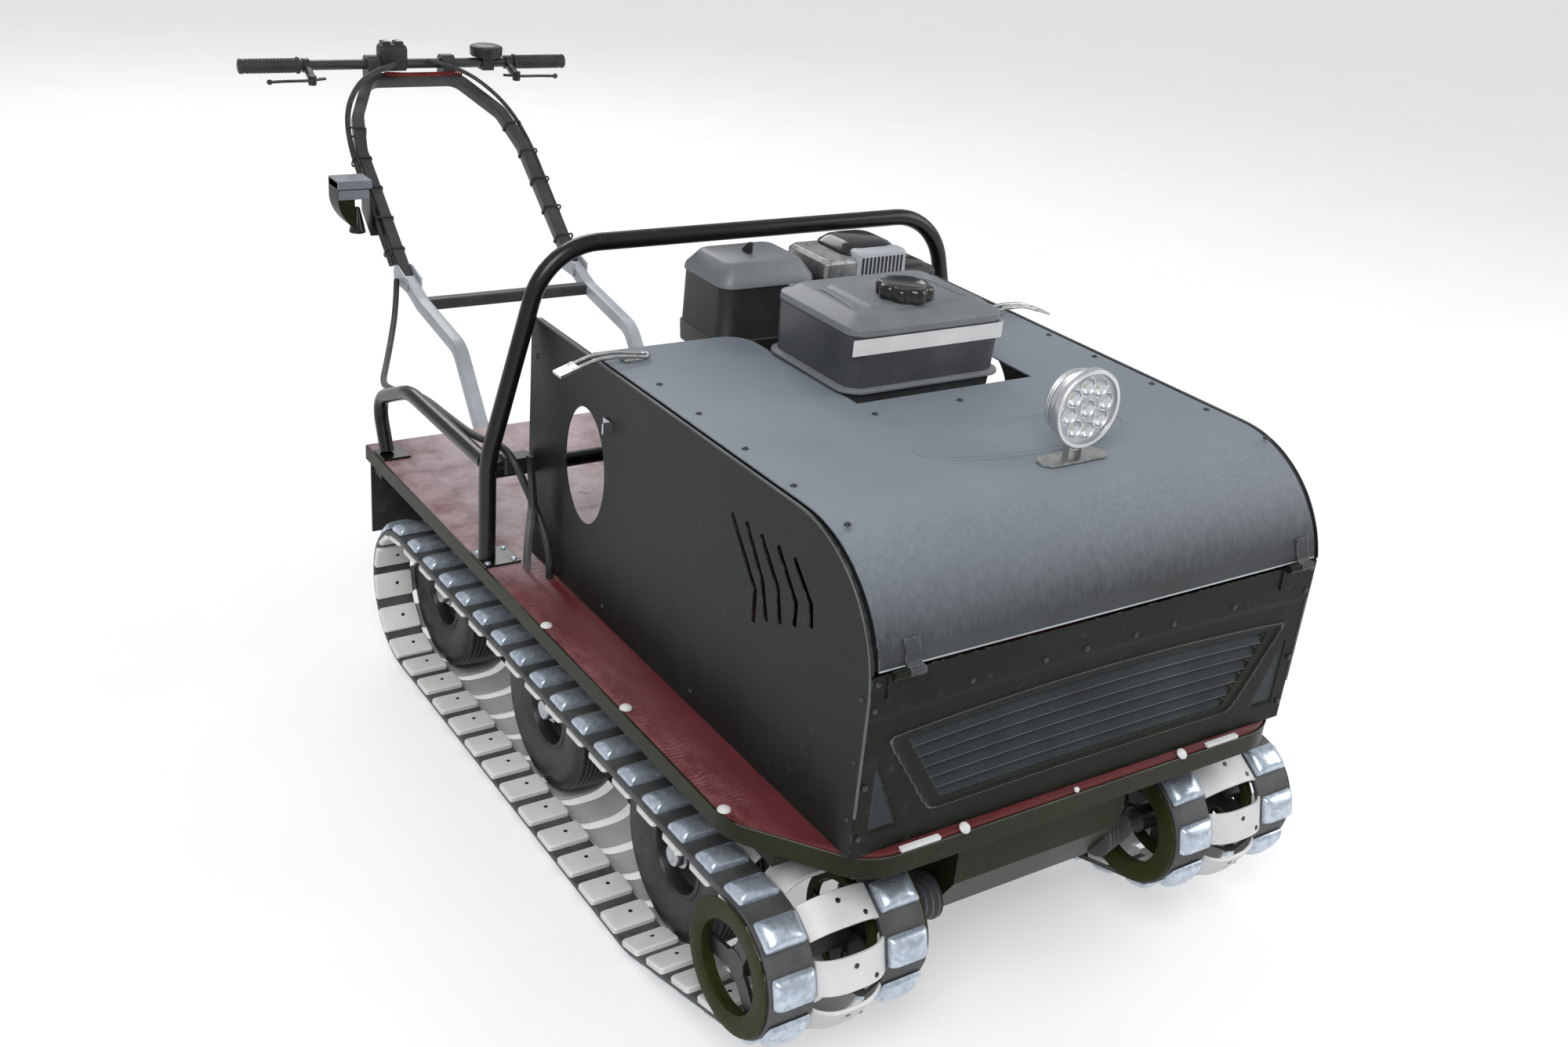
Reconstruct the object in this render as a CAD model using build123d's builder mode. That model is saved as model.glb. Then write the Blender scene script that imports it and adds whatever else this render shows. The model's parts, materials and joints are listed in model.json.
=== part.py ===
"""A tracked walk-behind tug: deck on two rubber tracks, engine under a hood, folding handle.

Millimetres. +Z is up, the front faces -Y, and the vehicle's left side is +X.
The origin is on the ground, under the middle of the whole vehicle.
"""

import os
from math import asin, cos, pi, sin, sqrt, tan

from build123d import *

os.makedirs("parts", exist_ok=True)

# Overall placing: where the hood's front face and the deck's top lie.
front_y = -1193.5
deck_top = 394

# Deck board and the steel angle frame under it.
deck_half_width = 466
deck_length = 1386
deck_rear = front_y + deck_length
deck_overhang = 22
deck_board = 15
corner_cut_x = 118
corner_cut_y = 150
angle_leg = 40
angle_wall = 4
cross_tube = 40

# Hood: side sheets, front panel and the cover that opens.
hood_half_width = 375
hood_length = 900
hood_height = 390
seam_height = 255
hood_curve = 172
sheet = 2
cover_gap = 5
cover_side_gap = 7
cover_length = 718

# Running gear.
band_width = 68
band_thickness = 10
band_gap = 104
shoe_count = 42
shoe_length = 50
lug_height = 20
lug_lean = 6
bar_bow = 16.5
bar_slope = 15
drum_y = 97
drum_drop = 197
drum_band_radius = 95
wheel_ys = (376, 801, deck_length - 154)
wheel_drop = 244
wheel_band_radius = 130
tyre_radius = 136
tyre_half_width = 44
rim_radius = 62
rim_half_width = 34
hub_half_width = 42
axle_radius = 10
beam_size = 40
beam_inset = 12

# Seats: the gap left between pieces that rest on each other.
seat = 0.3

# Tubes.
roll_tube = 27
rail_tube = 25
handle_tube = 25
cable_width = 12
bend_chords = 3
bar_tube = 22

deck_bottom = deck_top - deck_board
frame_bottom = deck_bottom - angle_leg
track_outer = deck_half_width
track_inner = track_outer - 2 * band_width - band_gap
wheel_x = track_outer - band_width - band_gap / 2
wheel_z = deck_top - wheel_drop
drum_z = deck_top - drum_drop
SIDES = (("left", 1), ("right", -1))


def save(builder, name):
    """Labels a finished piece and writes its file."""
    builder.part.label = name
    export_step(builder.part, f"parts/{name}.step")


def bent_run(points, bends):
    """The corners of a bent tube's middle line, each bend's arc as a few chords."""
    with BuildLine() as run:
        FilletPolyline(*points, radius=bends)
    corners = [run.line @ 0]
    for edge in run.wire().order_edges():
        steps = 1 if edge.geom_type == GeomType.LINE else bend_chords
        corners += [edge @ ((step + 1) / steps) for step in range(steps)]
    return corners


def round_tube(points, bends, diameter):
    """A tube's bar along straight runs and bends, ten-sided to keep the model light."""
    corners = bent_run(points, bends)
    with BuildPart() as tube:
        with BuildLine() as line:
            Polyline(*corners)
        with BuildSketch(Plane(corners[0], z_dir=corners[1] - corners[0])):
            RegularPolygon(diameter / 2, 10)
        sweep(path=line.line, transition=Transition.RIGHT)
    return tube.part


def square_tube(points, bends, width):
    """A square bar along straight runs and bends."""
    corners = bent_run(points, bends)
    with BuildPart() as tube:
        with BuildLine() as line:
            Polyline(*corners)
        with BuildSketch(Plane(corners[0], x_dir=(1, 0, 0), z_dir=corners[1] - corners[0])):
            Rectangle(width, width)
        sweep(path=line.line, transition=Transition.RIGHT)
    return tube.part


def cable_run(points, diameter):
    """A cable along its route, each bend as wide as its two runs allow."""
    places = [Vector(*point) for point in points]
    bends = []
    for before, corner, after in zip(places, places[1:], places[2:]):
        turn = (corner - before).get_angle(after - corner) * pi / 180
        bends.append(0.45 * min((corner - before).length, (after - corner).length) / tan(turn / 2))
    with BuildPart() as cable:
        with BuildLine() as run:
            FilletPolyline(*places, radius=bends)
        with BuildSketch(Plane(run.line @ 0, z_dir=run.line % 0)):
            RegularPolygon(diameter / 2, 6)
        sweep(path=run.line)
    length = sum(edge.length for edge in run.wire().edges())
    print("cable", round(length), "mm, tightest bend", round(min(bends)), "volume", round(cable.part.volume / length, 1))
    return cable.part


def side_plane(x):
    """A plane across the vehicle at x: its first axis runs back and its second up."""
    return Plane(origin=(x, front_y, deck_top), x_dir=(0, 1, 0), z_dir=(1, 0, 0))


def deck_outline():
    """Points of the deck's outline, from above, with its front corners cut off."""
    right = deck_half_width
    front = front_y - deck_overhang
    back = deck_rear
    return [
        (-right, back),
        (-right, front + corner_cut_y),
        (-right + corner_cut_x, front),
        (right - corner_cut_x, front),
        (right, front + corner_cut_y),
        (right, back),
    ]


# Deck board of film-faced plywood.
with BuildPart() as deck:
    with BuildSketch(Plane.XY.offset(deck_bottom)):
        with BuildLine():
            Polyline(*deck_outline(), close=True)
        make_face()
    extrude(amount=deck_board)
save(deck, "deck_board")

# Frame of steel angle round the deck's edge, with cross tubes.
cross_ys = (40, 420, 900)
with BuildPart() as frame:
    with BuildSketch(Plane.XY.offset(deck_bottom - angle_wall)):
        with BuildLine():
            Polyline(*deck_outline(), close=True)
        make_face()
        offset(amount=-angle_leg, mode=Mode.SUBTRACT, kind=Kind.INTERSECTION)
    extrude(amount=angle_wall)
    with BuildSketch(Plane.XY.offset(frame_bottom)):
        with BuildLine():
            Polyline(*deck_outline(), close=True)
        make_face()
        offset(amount=-angle_wall, mode=Mode.SUBTRACT, kind=Kind.INTERSECTION)
    extrude(amount=angle_leg)
    for cross_y in cross_ys:
        with BuildSketch(Plane.XZ.offset(-(front_y + cross_y))):
            with Locations((0, frame_bottom + (angle_leg - angle_wall) / 2)):
                Rectangle(2 * (deck_half_width - angle_wall), angle_leg - angle_wall)
        extrude(amount=-cross_tube)
save(frame, "deck_frame")

# Belt line of a track: the outside of its bands, round the drum and the end wheels.
with BuildSketch() as belt:
    with BuildLine():
        CenterArc((drum_y, -drum_drop), drum_band_radius, 0, 360)
        CenterArc((wheel_ys[0], -wheel_drop), wheel_band_radius, 0, 360)
        CenterArc((wheel_ys[-1], -wheel_drop), wheel_band_radius, 0, 360)
    make_hull()
belt_line = belt.sketch.face().outer_wire()


def shoe_frames():
    """For each shoe, its middle on the belt line, the way along it and the way out."""
    middle = Vector((drum_y + wheel_ys[-1]) / 2, -wheel_drop)
    frames = []
    for number in range(shoe_count):
        place = (number + 0.5) / shoe_count
        point = belt_line.position_at(place, position_mode=PositionMode.PARAMETER)
        along = belt_line.tangent_at(place, position_mode=PositionMode.PARAMETER)
        out = Vector(along.Y, -along.X)
        if out.dot(point - middle) < 0:
            out = out * -1
        frames.append((point, along, out))
    return frames


def on_shoe(shoe, along, out):
    """A point given by its place along a shoe and outward from the belt line."""
    point = shoe[0] + shoe[1] * along + shoe[2] * out
    return (point.X, point.Y)


shoes = shoe_frames()
half_shoe = shoe_length / 2
half_gap = band_gap / 2
half_bow = half_gap - bar_slope
bar_profile = (
    # across the track from the middle of the gap, out from the belt line
    (-half_gap, 0),
    (-half_bow, bar_bow),
    (half_bow, bar_bow),
    (half_gap, 0),
    (half_gap, -band_thickness),
    (half_bow, bar_bow - band_thickness),
    (-half_bow, bar_bow - band_thickness),
    (-half_gap, -band_thickness),
)
lug_profile = (
    # along a shoe, out from the belt line
    (-half_shoe, 0),
    (lug_lean - half_shoe, lug_height),
    (half_shoe, 0),
)
with BuildPart() as track:
    for band_x in (track_inner, track_outer - band_width):
        with BuildSketch(side_plane(band_x)):
            with BuildLine():
                Polyline(*[on_shoe(s, *place) for s in shoes for place in lug_profile], close=True)
            make_face()
            with BuildLine():
                Polyline(
                    *[on_shoe(s, a, -band_thickness) for s in shoes for a in (-half_shoe, half_shoe)],
                    close=True,
                )
            make_face(mode=Mode.SUBTRACT)
    extrude(amount=band_width)
    for shoe in shoes:
        start = on_shoe(shoe, -half_shoe, 0)
        along = Vector(0, shoe[1].X, shoe[1].Y)
        out = Vector(0, shoe[2].X, shoe[2].Y)
        middle = (wheel_x, front_y + start[0], deck_top + start[1])
        with BuildSketch(Plane(origin=middle, x_dir=out.cross(along), z_dir=along)):
            with BuildLine():
                Polyline(*bar_profile, close=True)
            make_face()
    extrude(amount=shoe_length)
save(track, "track_left")
with BuildPart() as track_copy:
    mirror(track.part, about=Plane.YZ)
save(track_copy, "track_right")

# Side beams under the deck, with the wheels' stub axles and the hangers from the frame.
hanger_length = 60
hanger_wall = 8
hanger_ys = (330, 780, wheel_ys[-1] - 52)
beam_x = track_inner - beam_inset - beam_size / 2
axle_end = wheel_x - hub_half_width - seat
beam_start = 250
beam_length = wheel_ys[-1] + 78 - beam_start
with BuildPart() as beams:
    for way in (1, -1):
        with BuildSketch(Plane.XZ.offset(-(front_y + beam_start))):
            with Locations((way * beam_x, wheel_z)):
                Rectangle(beam_size, beam_size)
        extrude(amount=-beam_length)
        for hanger_y in hanger_ys:
            with BuildSketch(Plane.XZ.offset(-(front_y + hanger_y))):
                with Locations((way * beam_x, wheel_z)):
                    Rectangle(hanger_wall, frame_bottom - wheel_z, align=(Align.CENTER, Align.MIN))
            extrude(amount=-hanger_length)
        with BuildSketch(side_plane(way * beam_x)):
            with Locations(*[(wheel_y, -wheel_drop) for wheel_y in wheel_ys]):
                RegularPolygon(axle_radius, 8)
        extrude(amount=way * (axle_end - beam_x))
save(beams, "axle_beams")

# Wheels: a rim with its hub, and a tyre round it, both many-sided to keep the model light.
wheel_sides = 18
hub_radius = 22
tyre_shoulder_across = 14
tyre_shoulder_in = 28
wheel_centres = [(way * wheel_x, front_y + y, wheel_z) for way in (1, -1) for y in wheel_ys]
wheel_planes = [Plane(origin=centre, x_dir=(0, 1, 0), z_dir=(1, 0, 0)) for centre in wheel_centres]
with BuildPart() as rims:
    for plane in wheel_planes:
        with BuildSketch(plane.offset(-rim_half_width)):
            RegularPolygon(rim_radius, wheel_sides, major_radius=False)
    extrude(amount=2 * rim_half_width)
    for plane in wheel_planes:
        with BuildSketch(plane.offset(-hub_half_width)):
            RegularPolygon(hub_radius, 8)
    extrude(amount=2 * hub_half_width)
save(rims, "wheel_rims")
with BuildPart() as tyres:
    for plane in wheel_planes:
        with BuildSketch(plane.offset(-tyre_half_width)):
            RegularPolygon(tyre_radius, wheel_sides)
    extrude(amount=2 * tyre_half_width)
    for end in (tyres.faces().filter_by(Axis.X)):
        chamfer(end.edges(), tyre_shoulder_in, tyre_shoulder_across, reference=end)
    for plane in wheel_planes:
        with BuildSketch(plane.offset(-tyre_half_width)):
            RegularPolygon(rim_radius + seat, wheel_sides, major_radius=False)
    extrude(amount=2 * tyre_half_width, mode=Mode.SUBTRACT)
save(tyres, "tyres")

# Drive drums: two rings under the bands, carried by a hub with a spider at each end.
drum_rim = drum_band_radius - band_thickness - seat
drum_half = track_outer - wheel_x - 2
ring_start = half_gap - 5
ring_hole = 62
shaft_radius = 14
drum_hub = 26
spider_arm = 24
spider_wall = 6
spider_reach = sqrt((ring_hole - seat) ** 2 - (spider_arm / 2) ** 2)
drum_centres = [(way * wheel_x, front_y + drum_y, drum_z) for way in (1, -1)]
drum_planes = [Plane(origin=centre, x_dir=(0, 1, 0), z_dir=(1, 0, 0)) for centre in drum_centres]
with BuildPart() as drums:
    for plane in drum_planes:
        with BuildSketch(plane.offset(-ring_start - 2 * spider_wall)):
            RegularPolygon(drum_hub, 12)
            RegularPolygon(shaft_radius + seat, 8, mode=Mode.SUBTRACT)
    extrude(amount=2 * ring_start + 4 * spider_wall)
    for plane in drum_planes:
        for start in (ring_start, -ring_start - spider_wall):
            with BuildSketch(plane.offset(start)):
                Rectangle(2 * spider_reach, spider_arm)
                Rectangle(spider_arm, 2 * spider_reach)
                RegularPolygon(shaft_radius + seat, 8, mode=Mode.SUBTRACT)
    extrude(amount=spider_wall)
save(drums, "drive_drums")
with BuildPart() as rings:
    for plane in drum_planes:
        for start in (ring_start, -drum_half):
            with BuildSketch(plane.offset(start)):
                RegularPolygon(drum_rim, wheel_sides)
                RegularPolygon(ring_hole, wheel_sides, major_radius=False, mode=Mode.SUBTRACT)
    extrude(amount=drum_half - ring_start)
save(rings, "drum_rings")

# Belly box: the gear case under the deck's front, and the half-shafts out of it.
belly_half_width = 150
belly_front = 52
belly_length = 250
belly_height = 190
shaft_end = wheel_x + drum_hub
with BuildPart() as belly:
    with BuildSketch(side_plane(-belly_half_width)):
        with BuildLine():
            Polyline(
                (belly_front, frame_bottom - deck_top),
                (belly_front, -150),
                (belly_front + 50, -belly_height - 45),
                (belly_front + belly_length - 40, -belly_height - 45),
                (belly_front + belly_length, -150),
                (belly_front + belly_length, frame_bottom - deck_top),
                close=True,
            )
        make_face()
    extrude(amount=2 * belly_half_width)
save(belly, "gear_case")
boot_length = 60
boot_radius = 34
boot_end_radius = 24
with BuildPart() as shafts:
    for side, way in SIDES:
        with BuildSketch(Plane.YZ.offset(way * (belly_half_width + seat))):
            with Locations((front_y + drum_y, drum_z)):
                RegularPolygon(shaft_radius, 8)
        extrude(amount=way * (shaft_end - belly_half_width - seat))
save(shafts, "half_shafts")
with BuildPart() as boots:
    for side, way in SIDES:
        centre = (way * (belly_half_width + seat), front_y + drum_y, drum_z)
        boot_plane = Plane(origin=centre, x_dir=(0, 1, 0), z_dir=(way, 0, 0))
        with BuildSketch(boot_plane):
            RegularPolygon(boot_radius, 12)
            RegularPolygon(shaft_radius + seat, 8, mode=Mode.SUBTRACT)
        extrude(amount=boot_length / 2)
        with BuildSketch(boot_plane.offset(boot_length / 2)):
            RegularPolygon(boot_end_radius, 12)
            RegularPolygon(shaft_radius + seat, 8, mode=Mode.SUBTRACT)
        extrude(amount=boot_length / 2)
save(boots, "shaft_boots")

# Hood sides: flat sheets with louvre slots and an oval hole.
arc_run = sqrt(2 * hood_curve * (hood_height - seam_height) - (hood_height - seam_height) ** 2)
arc_middle = (arc_run, hood_height - hood_curve)
arc_start = asin((seam_height - arc_middle[1]) / hood_curve)


def hood_arc(inset):
    """Start, middle and end of the hood's front curve, moved in by inset."""
    points = []
    for share in (0, 0.5, 1):
        angle = arc_start + (pi / 2 - arc_start) * share
        reach = hood_curve - inset
        points.append((arc_middle[0] - reach * cos(angle), arc_middle[1] + reach * sin(angle)))
    return points


louvre_width = 9
louvres = (
    # top, kink and bottom of each slot: back from the front panel and up from the deck
    (313, 319, 247, 242, 245, 198),
    (279, 322, 233, 261, 217, 212),
    (245, 320, 199, 268, 188, 224),
    (207, 322, 159, 267, 158, 236),
    (172, 322, 129, 280, 124, 251),
)
oval_y = 713
oval_z = 219
oval_half_width = 62
oval_half_height = 90
roll_y = 886
roll_cross = 24
cross_z = 150
side_flange = 14
panel_top = seam_height - cover_gap
for side, way in SIDES:
    with BuildPart() as panel:
        with BuildSketch(side_plane(way * (hood_half_width - sheet / 2)).offset(-sheet / 2)):
            with BuildLine():
                rim = hood_arc(0)
                Polyline((sheet, 0), (sheet, panel_top), rim[0])
                ThreePointArc(*rim)
                Polyline(rim[2], (hood_length, hood_height), (hood_length, 0), (sheet, 0))
            make_face()
            with Locations((oval_y, oval_z)):
                Ellipse(oval_half_width, oval_half_height, mode=Mode.SUBTRACT)
            with Locations((roll_y, cross_z)):
                Circle(roll_cross / 2 + 1, mode=Mode.SUBTRACT)
                Rectangle(hood_length, roll_cross + 2, align=(Align.MIN, Align.CENTER), mode=Mode.SUBTRACT)
        extrude(amount=sheet)
        for top_y, top_z, kink_y, kink_z, low_y, low_z in louvres:
            with BuildSketch(side_plane(way * (hood_half_width - sheet / 2)).offset(-sheet)):
                with BuildLine() as slot_line:
                    Polyline((top_y, top_z), (kink_y, kink_z), (low_y, low_z))
                trace(line_width=louvre_width)
        extrude(amount=2 * sheet, mode=Mode.SUBTRACT)
        with BuildSketch(side_plane(way * (hood_half_width - sheet))):
            with BuildLine():
                lip_top = hood_arc(sheet + cover_gap)
                lip_bottom = hood_arc(2 * sheet + cover_gap)
                ThreePointArc(*lip_top)
                Polyline(lip_top[2], (hood_length, lip_top[2][1]), (hood_length, lip_bottom[2][1]), lip_bottom[2])
                ThreePointArc(*lip_bottom)
                Line(lip_bottom[0], lip_top[0])
            make_face()
        extrude(amount=-way * side_flange)
        with BuildSketch(Plane.XY.offset(deck_top)):
            with Locations((way * (hood_half_width - sheet), front_y + hood_length / 2)):
                Rectangle(side_flange, hood_length - 60, align=(Align.MAX if way > 0 else Align.MIN, Align.CENTER))
        extrude(amount=sheet)
    save(panel, f"side_panel_{side}")

# Front panel: a sheet with a recessed, ribbed grille and two corner recesses.
grille_top = 165
grille_bottom = 45
grille_half_top = 338
grille_half_bottom = 258
grille_depth = 12
rib_count = 5
rib_height = 8
front_plane = Plane(origin=(0, front_y, deck_top), x_dir=(1, 0, 0), z_dir=(0, -1, 0))
grille_points = (
    (-grille_half_bottom, grille_bottom),
    (-grille_half_top, grille_top),
    (grille_half_top, grille_top),
    (grille_half_bottom, grille_bottom),
)
with BuildPart() as front:
    with BuildSketch(front_plane.offset(-sheet)):
        Rectangle(2 * hood_half_width, panel_top, align=(Align.CENTER, Align.MIN))
        with BuildLine():
            Polyline(*grille_points, close=True)
        make_face(mode=Mode.SUBTRACT)
    extrude(amount=sheet)
    with BuildSketch(front_plane.offset(-sheet)):
        with BuildLine():
            Polyline(*grille_points, close=True)
        make_face()
        offset(amount=sheet, kind=Kind.INTERSECTION)
        with BuildLine():
            Polyline(*grille_points, close=True)
        make_face(mode=Mode.SUBTRACT)
    extrude(amount=-grille_depth)
    with BuildSketch(front_plane.offset(-sheet - grille_depth)):
        with BuildLine():
            Polyline(*grille_points, close=True)
        make_face()
        offset(amount=sheet, kind=Kind.INTERSECTION)
    extrude(amount=-sheet)
    rib_pitch = (grille_top - grille_bottom) / (rib_count + 1)
    rib_slope = (grille_half_top - grille_half_bottom) / (grille_top - grille_bottom)
    for rib in range(rib_count):
        rib_z = grille_bottom + rib_pitch * (rib + 1)
        rib_half = grille_half_bottom + rib_slope * (rib_z - grille_bottom) - rib_height
        with BuildSketch(front_plane.offset(-sheet - grille_depth)):
            with Locations((0, rib_z)):
                Rectangle(2 * rib_half, rib_height)
    extrude(amount=grille_depth)
save(front, "front_panel")

# Hood cover: one sheet between the side panels, curved at the front, notched for the tank.
cover_half_width = hood_half_width - sheet - cover_side_gap
notch_front = 418
notch_left = 196
notch_right = -118
notch_corner = 40
with BuildPart() as cover:
    with BuildSketch(side_plane(-cover_half_width)):
        with BuildLine():
            outer = hood_arc(0)
            inner = hood_arc(sheet)
            ThreePointArc(*outer)
            Polyline(outer[2], (cover_length, hood_height), (cover_length, hood_height - sheet), inner[2])
            ThreePointArc(*inner)
            Line(inner[0], outer[0])
        make_face()
    extrude(amount=2 * cover_half_width)
    with BuildSketch(Plane.XY.offset(deck_top + hood_height - 4 * sheet)):
        with Locations(((notch_left + notch_right) / 2, front_y + notch_front)):
            Rectangle(notch_left - notch_right, hood_length, align=(Align.CENTER, Align.MIN))
    extrude(amount=8 * sheet, mode=Mode.SUBTRACT)
    rear_edges = cover.edges().filter_by(Axis.Z).group_by(Axis.Y)[-1]
    fillet([edge for edge in rear_edges if abs(edge.center().X) < notch_left + 1], notch_corner)
save(cover, "hood_cover")

# Two barrel hinges at the seam, on the front panel and on the cover.
hinge_y = -8
hinge_z = 252
hinge_x = 330
barrel_radius = 6
barrel_length = 22
pin_radius = 3
leaf_height = 34
leaf_wall = 2
leaf_half = 14
leaf_z = 273
leaf_turn = asin((leaf_z - arc_middle[1]) / hood_curve)


def on_cover(along, out):
    """A point near the cover's front curve, along it from the hinge leaf's middle and out from it."""
    reach = hood_curve + out
    return (
        arc_middle[0] - reach * cos(leaf_turn) + along * sin(leaf_turn),
        arc_middle[1] + reach * sin(leaf_turn) + along * cos(leaf_turn),
    )


with BuildPart() as hinge_fixed:
    for way in (1, -1):
        hinge_plane = side_plane(way * hinge_x - barrel_length)
        with BuildSketch(hinge_plane):
            with Locations((hinge_y, hinge_z)):
                RegularPolygon(barrel_radius, 8)
            with Locations((-leaf_wall / 2 - seat, hinge_z - leaf_height / 2)):
                Rectangle(leaf_wall, leaf_height)
            with Locations((hinge_y / 2, hinge_z - barrel_radius + 1)):
                Rectangle(-hinge_y - 2 * seat, 2)
    extrude(amount=barrel_length - seat)
    for way in (1, -1):
        with BuildSketch(side_plane(way * hinge_x - barrel_length)):
            with Locations((hinge_y, hinge_z)):
                Circle(pin_radius)
    extrude(amount=2 * barrel_length)
save(hinge_fixed, "hood_hinge_fixed")
with BuildPart() as hinge_moving:
    for way in (1, -1):
        with BuildSketch(side_plane(way * hinge_x)):
            with Locations((hinge_y, hinge_z)):
                RegularPolygon(barrel_radius, 8)
            with BuildLine():
                Polyline(
                    (hinge_y, hinge_z + 3),
                    on_cover(-leaf_half, seat + leaf_wall),
                    on_cover(leaf_half, seat + leaf_wall),
                    on_cover(leaf_half, seat),
                    on_cover(-leaf_half, seat),
                    (hinge_y + barrel_radius - 1, hinge_z + 1),
                    close=True,
                )
            make_face()
            with Locations((hinge_y, hinge_z)):
                RegularPolygon(pin_radius + seat, 8, major_radius=False, mode=Mode.SUBTRACT)
    extrude(amount=barrel_length)
save(hinge_moving, "hood_hinge_moving")

# Work lamp on a slotted foot on the cover, tilting on a lug at its bottom.
lamp_x = 37
lamp_y = 142
lamp_z = 463
lamp_sides = 24
lamp_radius = 53
lamp_rim = 12
lamp_depth = 46
lamp_body_radius = 46
lamp_recess = 5
foot_length = 112
foot_width = 32
bracket_wall = 3
lug_half = 8
lug_radius = 6
lug_gap = 1
lamp_tilt_y = lamp_y + 16
lamp_tilt_z = hood_height + seat + bracket_wall + lug_radius + 3
lamp_plane = Plane(origin=(lamp_x, front_y + lamp_y, deck_top + lamp_z), x_dir=(1, 0, 0), z_dir=(0, -1, 0))
with BuildPart() as bracket:
    with BuildSketch(Plane.XY.offset(deck_top + hood_height + seat)):
        with Locations((lamp_x, front_y + lamp_tilt_y)):
            Rectangle(foot_length, foot_width)
    extrude(amount=bracket_wall)
    chamfer(bracket.edges().filter_by(Axis.Z), foot_width / 3)
    for way in (1, -1):
        with BuildSketch(side_plane(lamp_x + way * (lug_half + lug_gap))):
            with Locations((lamp_tilt_y, hood_height + seat)):
                Rectangle(2 * lug_radius, lamp_tilt_z + lug_radius - hood_height, align=(Align.CENTER, Align.MIN))
        extrude(amount=way * bracket_wall)
    with BuildSketch(side_plane(lamp_x - lug_half - lug_gap)):
        with Locations((lamp_tilt_y, lamp_tilt_z)):
            Circle(lug_radius / 2)
    extrude(amount=2 * (lug_half + lug_gap))
save(bracket, "lamp_bracket")
with BuildPart() as lamp:
    with BuildSketch(lamp_plane):
        RegularPolygon(lamp_radius, lamp_sides)
    extrude(amount=-lamp_rim)
    with BuildSketch(lamp_plane.offset(-lamp_rim)):
        RegularPolygon(lamp_body_radius, lamp_sides)
    extrude(amount=lamp_rim - lamp_depth)
    chamfer(lamp.edges().group_by(Axis.Y)[-1], 16)
    with BuildSketch(lamp_plane):
        RegularPolygon(lamp_radius - 4, lamp_sides)
    extrude(amount=-lamp_recess, mode=Mode.SUBTRACT)
    with BuildSketch(side_plane(lamp_x - lug_half)):
        with Locations((lamp_tilt_y, lamp_tilt_z - lug_radius)):
            Rectangle(2 * lug_radius, lamp_z - lamp_body_radius - lamp_tilt_z + 12, align=(Align.CENTER, Align.MIN))
        with Locations((lamp_tilt_y, lamp_tilt_z)):
            RegularPolygon(lug_radius / 2 + seat, 8, major_radius=False, mode=Mode.SUBTRACT)
    extrude(amount=2 * lug_half)
save(lamp, "lamp_housing")
with BuildPart() as lens:
    with BuildSketch(lamp_plane.offset(-lamp_recess + seat)):
        RegularPolygon(lamp_radius - 4 - seat, lamp_sides)
    extrude(amount=2)
save(lens, "lamp_lens")

# Engine: one plain block low in the hood, and the pieces that show above it and before it.
engine_x = 20
block_half_width = 160
block_y = (470, 850)
block_top = 300
block_middle = (engine_x, front_y + sum(block_y) / 2)
with BuildPart() as block:
    with BuildSketch(Plane.XY.offset(deck_top)):
        with Locations(block_middle):
            Rectangle(2 * block_half_width, block_y[1] - block_y[0])
    extrude(amount=block_top)
    chamfer(block.edges().filter_by(Axis.Z), 20)
save(block, "engine_block")

tank_half_width = 134
tank_y = (439, 645)
tank_bottom = 335
tank_shoulder = 474
tank_crown = 24
tank_top = tank_shoulder + tank_crown
tank_shrink = 16
tank_corner = 26
tank_foot = 12
tank_middle = (engine_x - 4, front_y + sum(tank_y) / 2)
with BuildPart() as tank:
    with BuildSketch(Plane.XY.offset(deck_top + tank_bottom)):
        with Locations(tank_middle):
            Rectangle(2 * tank_half_width, tank_y[1] - tank_y[0])
    extrude(amount=tank_top - tank_bottom)
    chamfer(tank.edges().filter_by(Axis.Z), tank_corner)
    crown = tank.faces().sort_by(Axis.Z)[-1]
    chamfer(crown.edges(), tank_crown, tank_shrink, reference=crown)
    with BuildSketch(Plane.XY.offset(deck_top + block_top + seat)):
        with Locations(tank_middle):
            with GridLocations(tank_half_width, 100, 2, 2):
                Rectangle(2 * tank_foot, 2 * tank_foot)
    extrude(amount=tank_bottom - block_top - seat)
save(tank, "fuel_tank")

cap_x = 12
cap_y = 508
cap_radius = 42
cap_height = 24
cap_scallops = 8
with BuildPart() as cap:
    with BuildSketch(Plane.XY.offset(deck_top + tank_top + seat)):
        with Locations((cap_x, front_y + cap_y)):
            RegularPolygon(cap_radius, 2 * cap_scallops)
            with PolarLocations(cap_radius + 4, cap_scallops):
                RegularPolygon(8, 6, mode=Mode.SUBTRACT)
    extrude(amount=cap_height)
save(cap, "fuel_cap")

air_x = (-150, 20)
air_y = (725, 865)
air_bottom = block_top + 40
air_top = 490
air_shoulder = 26
air_shrink = 16
air_corner = 20
air_neck = 60
air_middle = (sum(air_x) / 2, front_y + sum(air_y) / 2)
with BuildPart() as air_box:
    with BuildSketch(Plane.XY.offset(deck_top + air_bottom)):
        with Locations(air_middle):
            Rectangle(air_x[1] - air_x[0], air_y[1] - air_y[0])
    extrude(amount=air_top - air_bottom)
    chamfer(air_box.edges().filter_by(Axis.Z), air_corner)
    roof = air_box.faces().sort_by(Axis.Z)[-1]
    chamfer(roof.edges(), air_shoulder, air_shrink, reference=roof)
    with BuildSketch(Plane.XY.offset(deck_top + block_top + seat)):
        with Locations(air_middle):
            Rectangle(air_neck, air_neck)
    extrude(amount=air_bottom - block_top - seat)
save(air_box, "air_filter_box")

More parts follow.
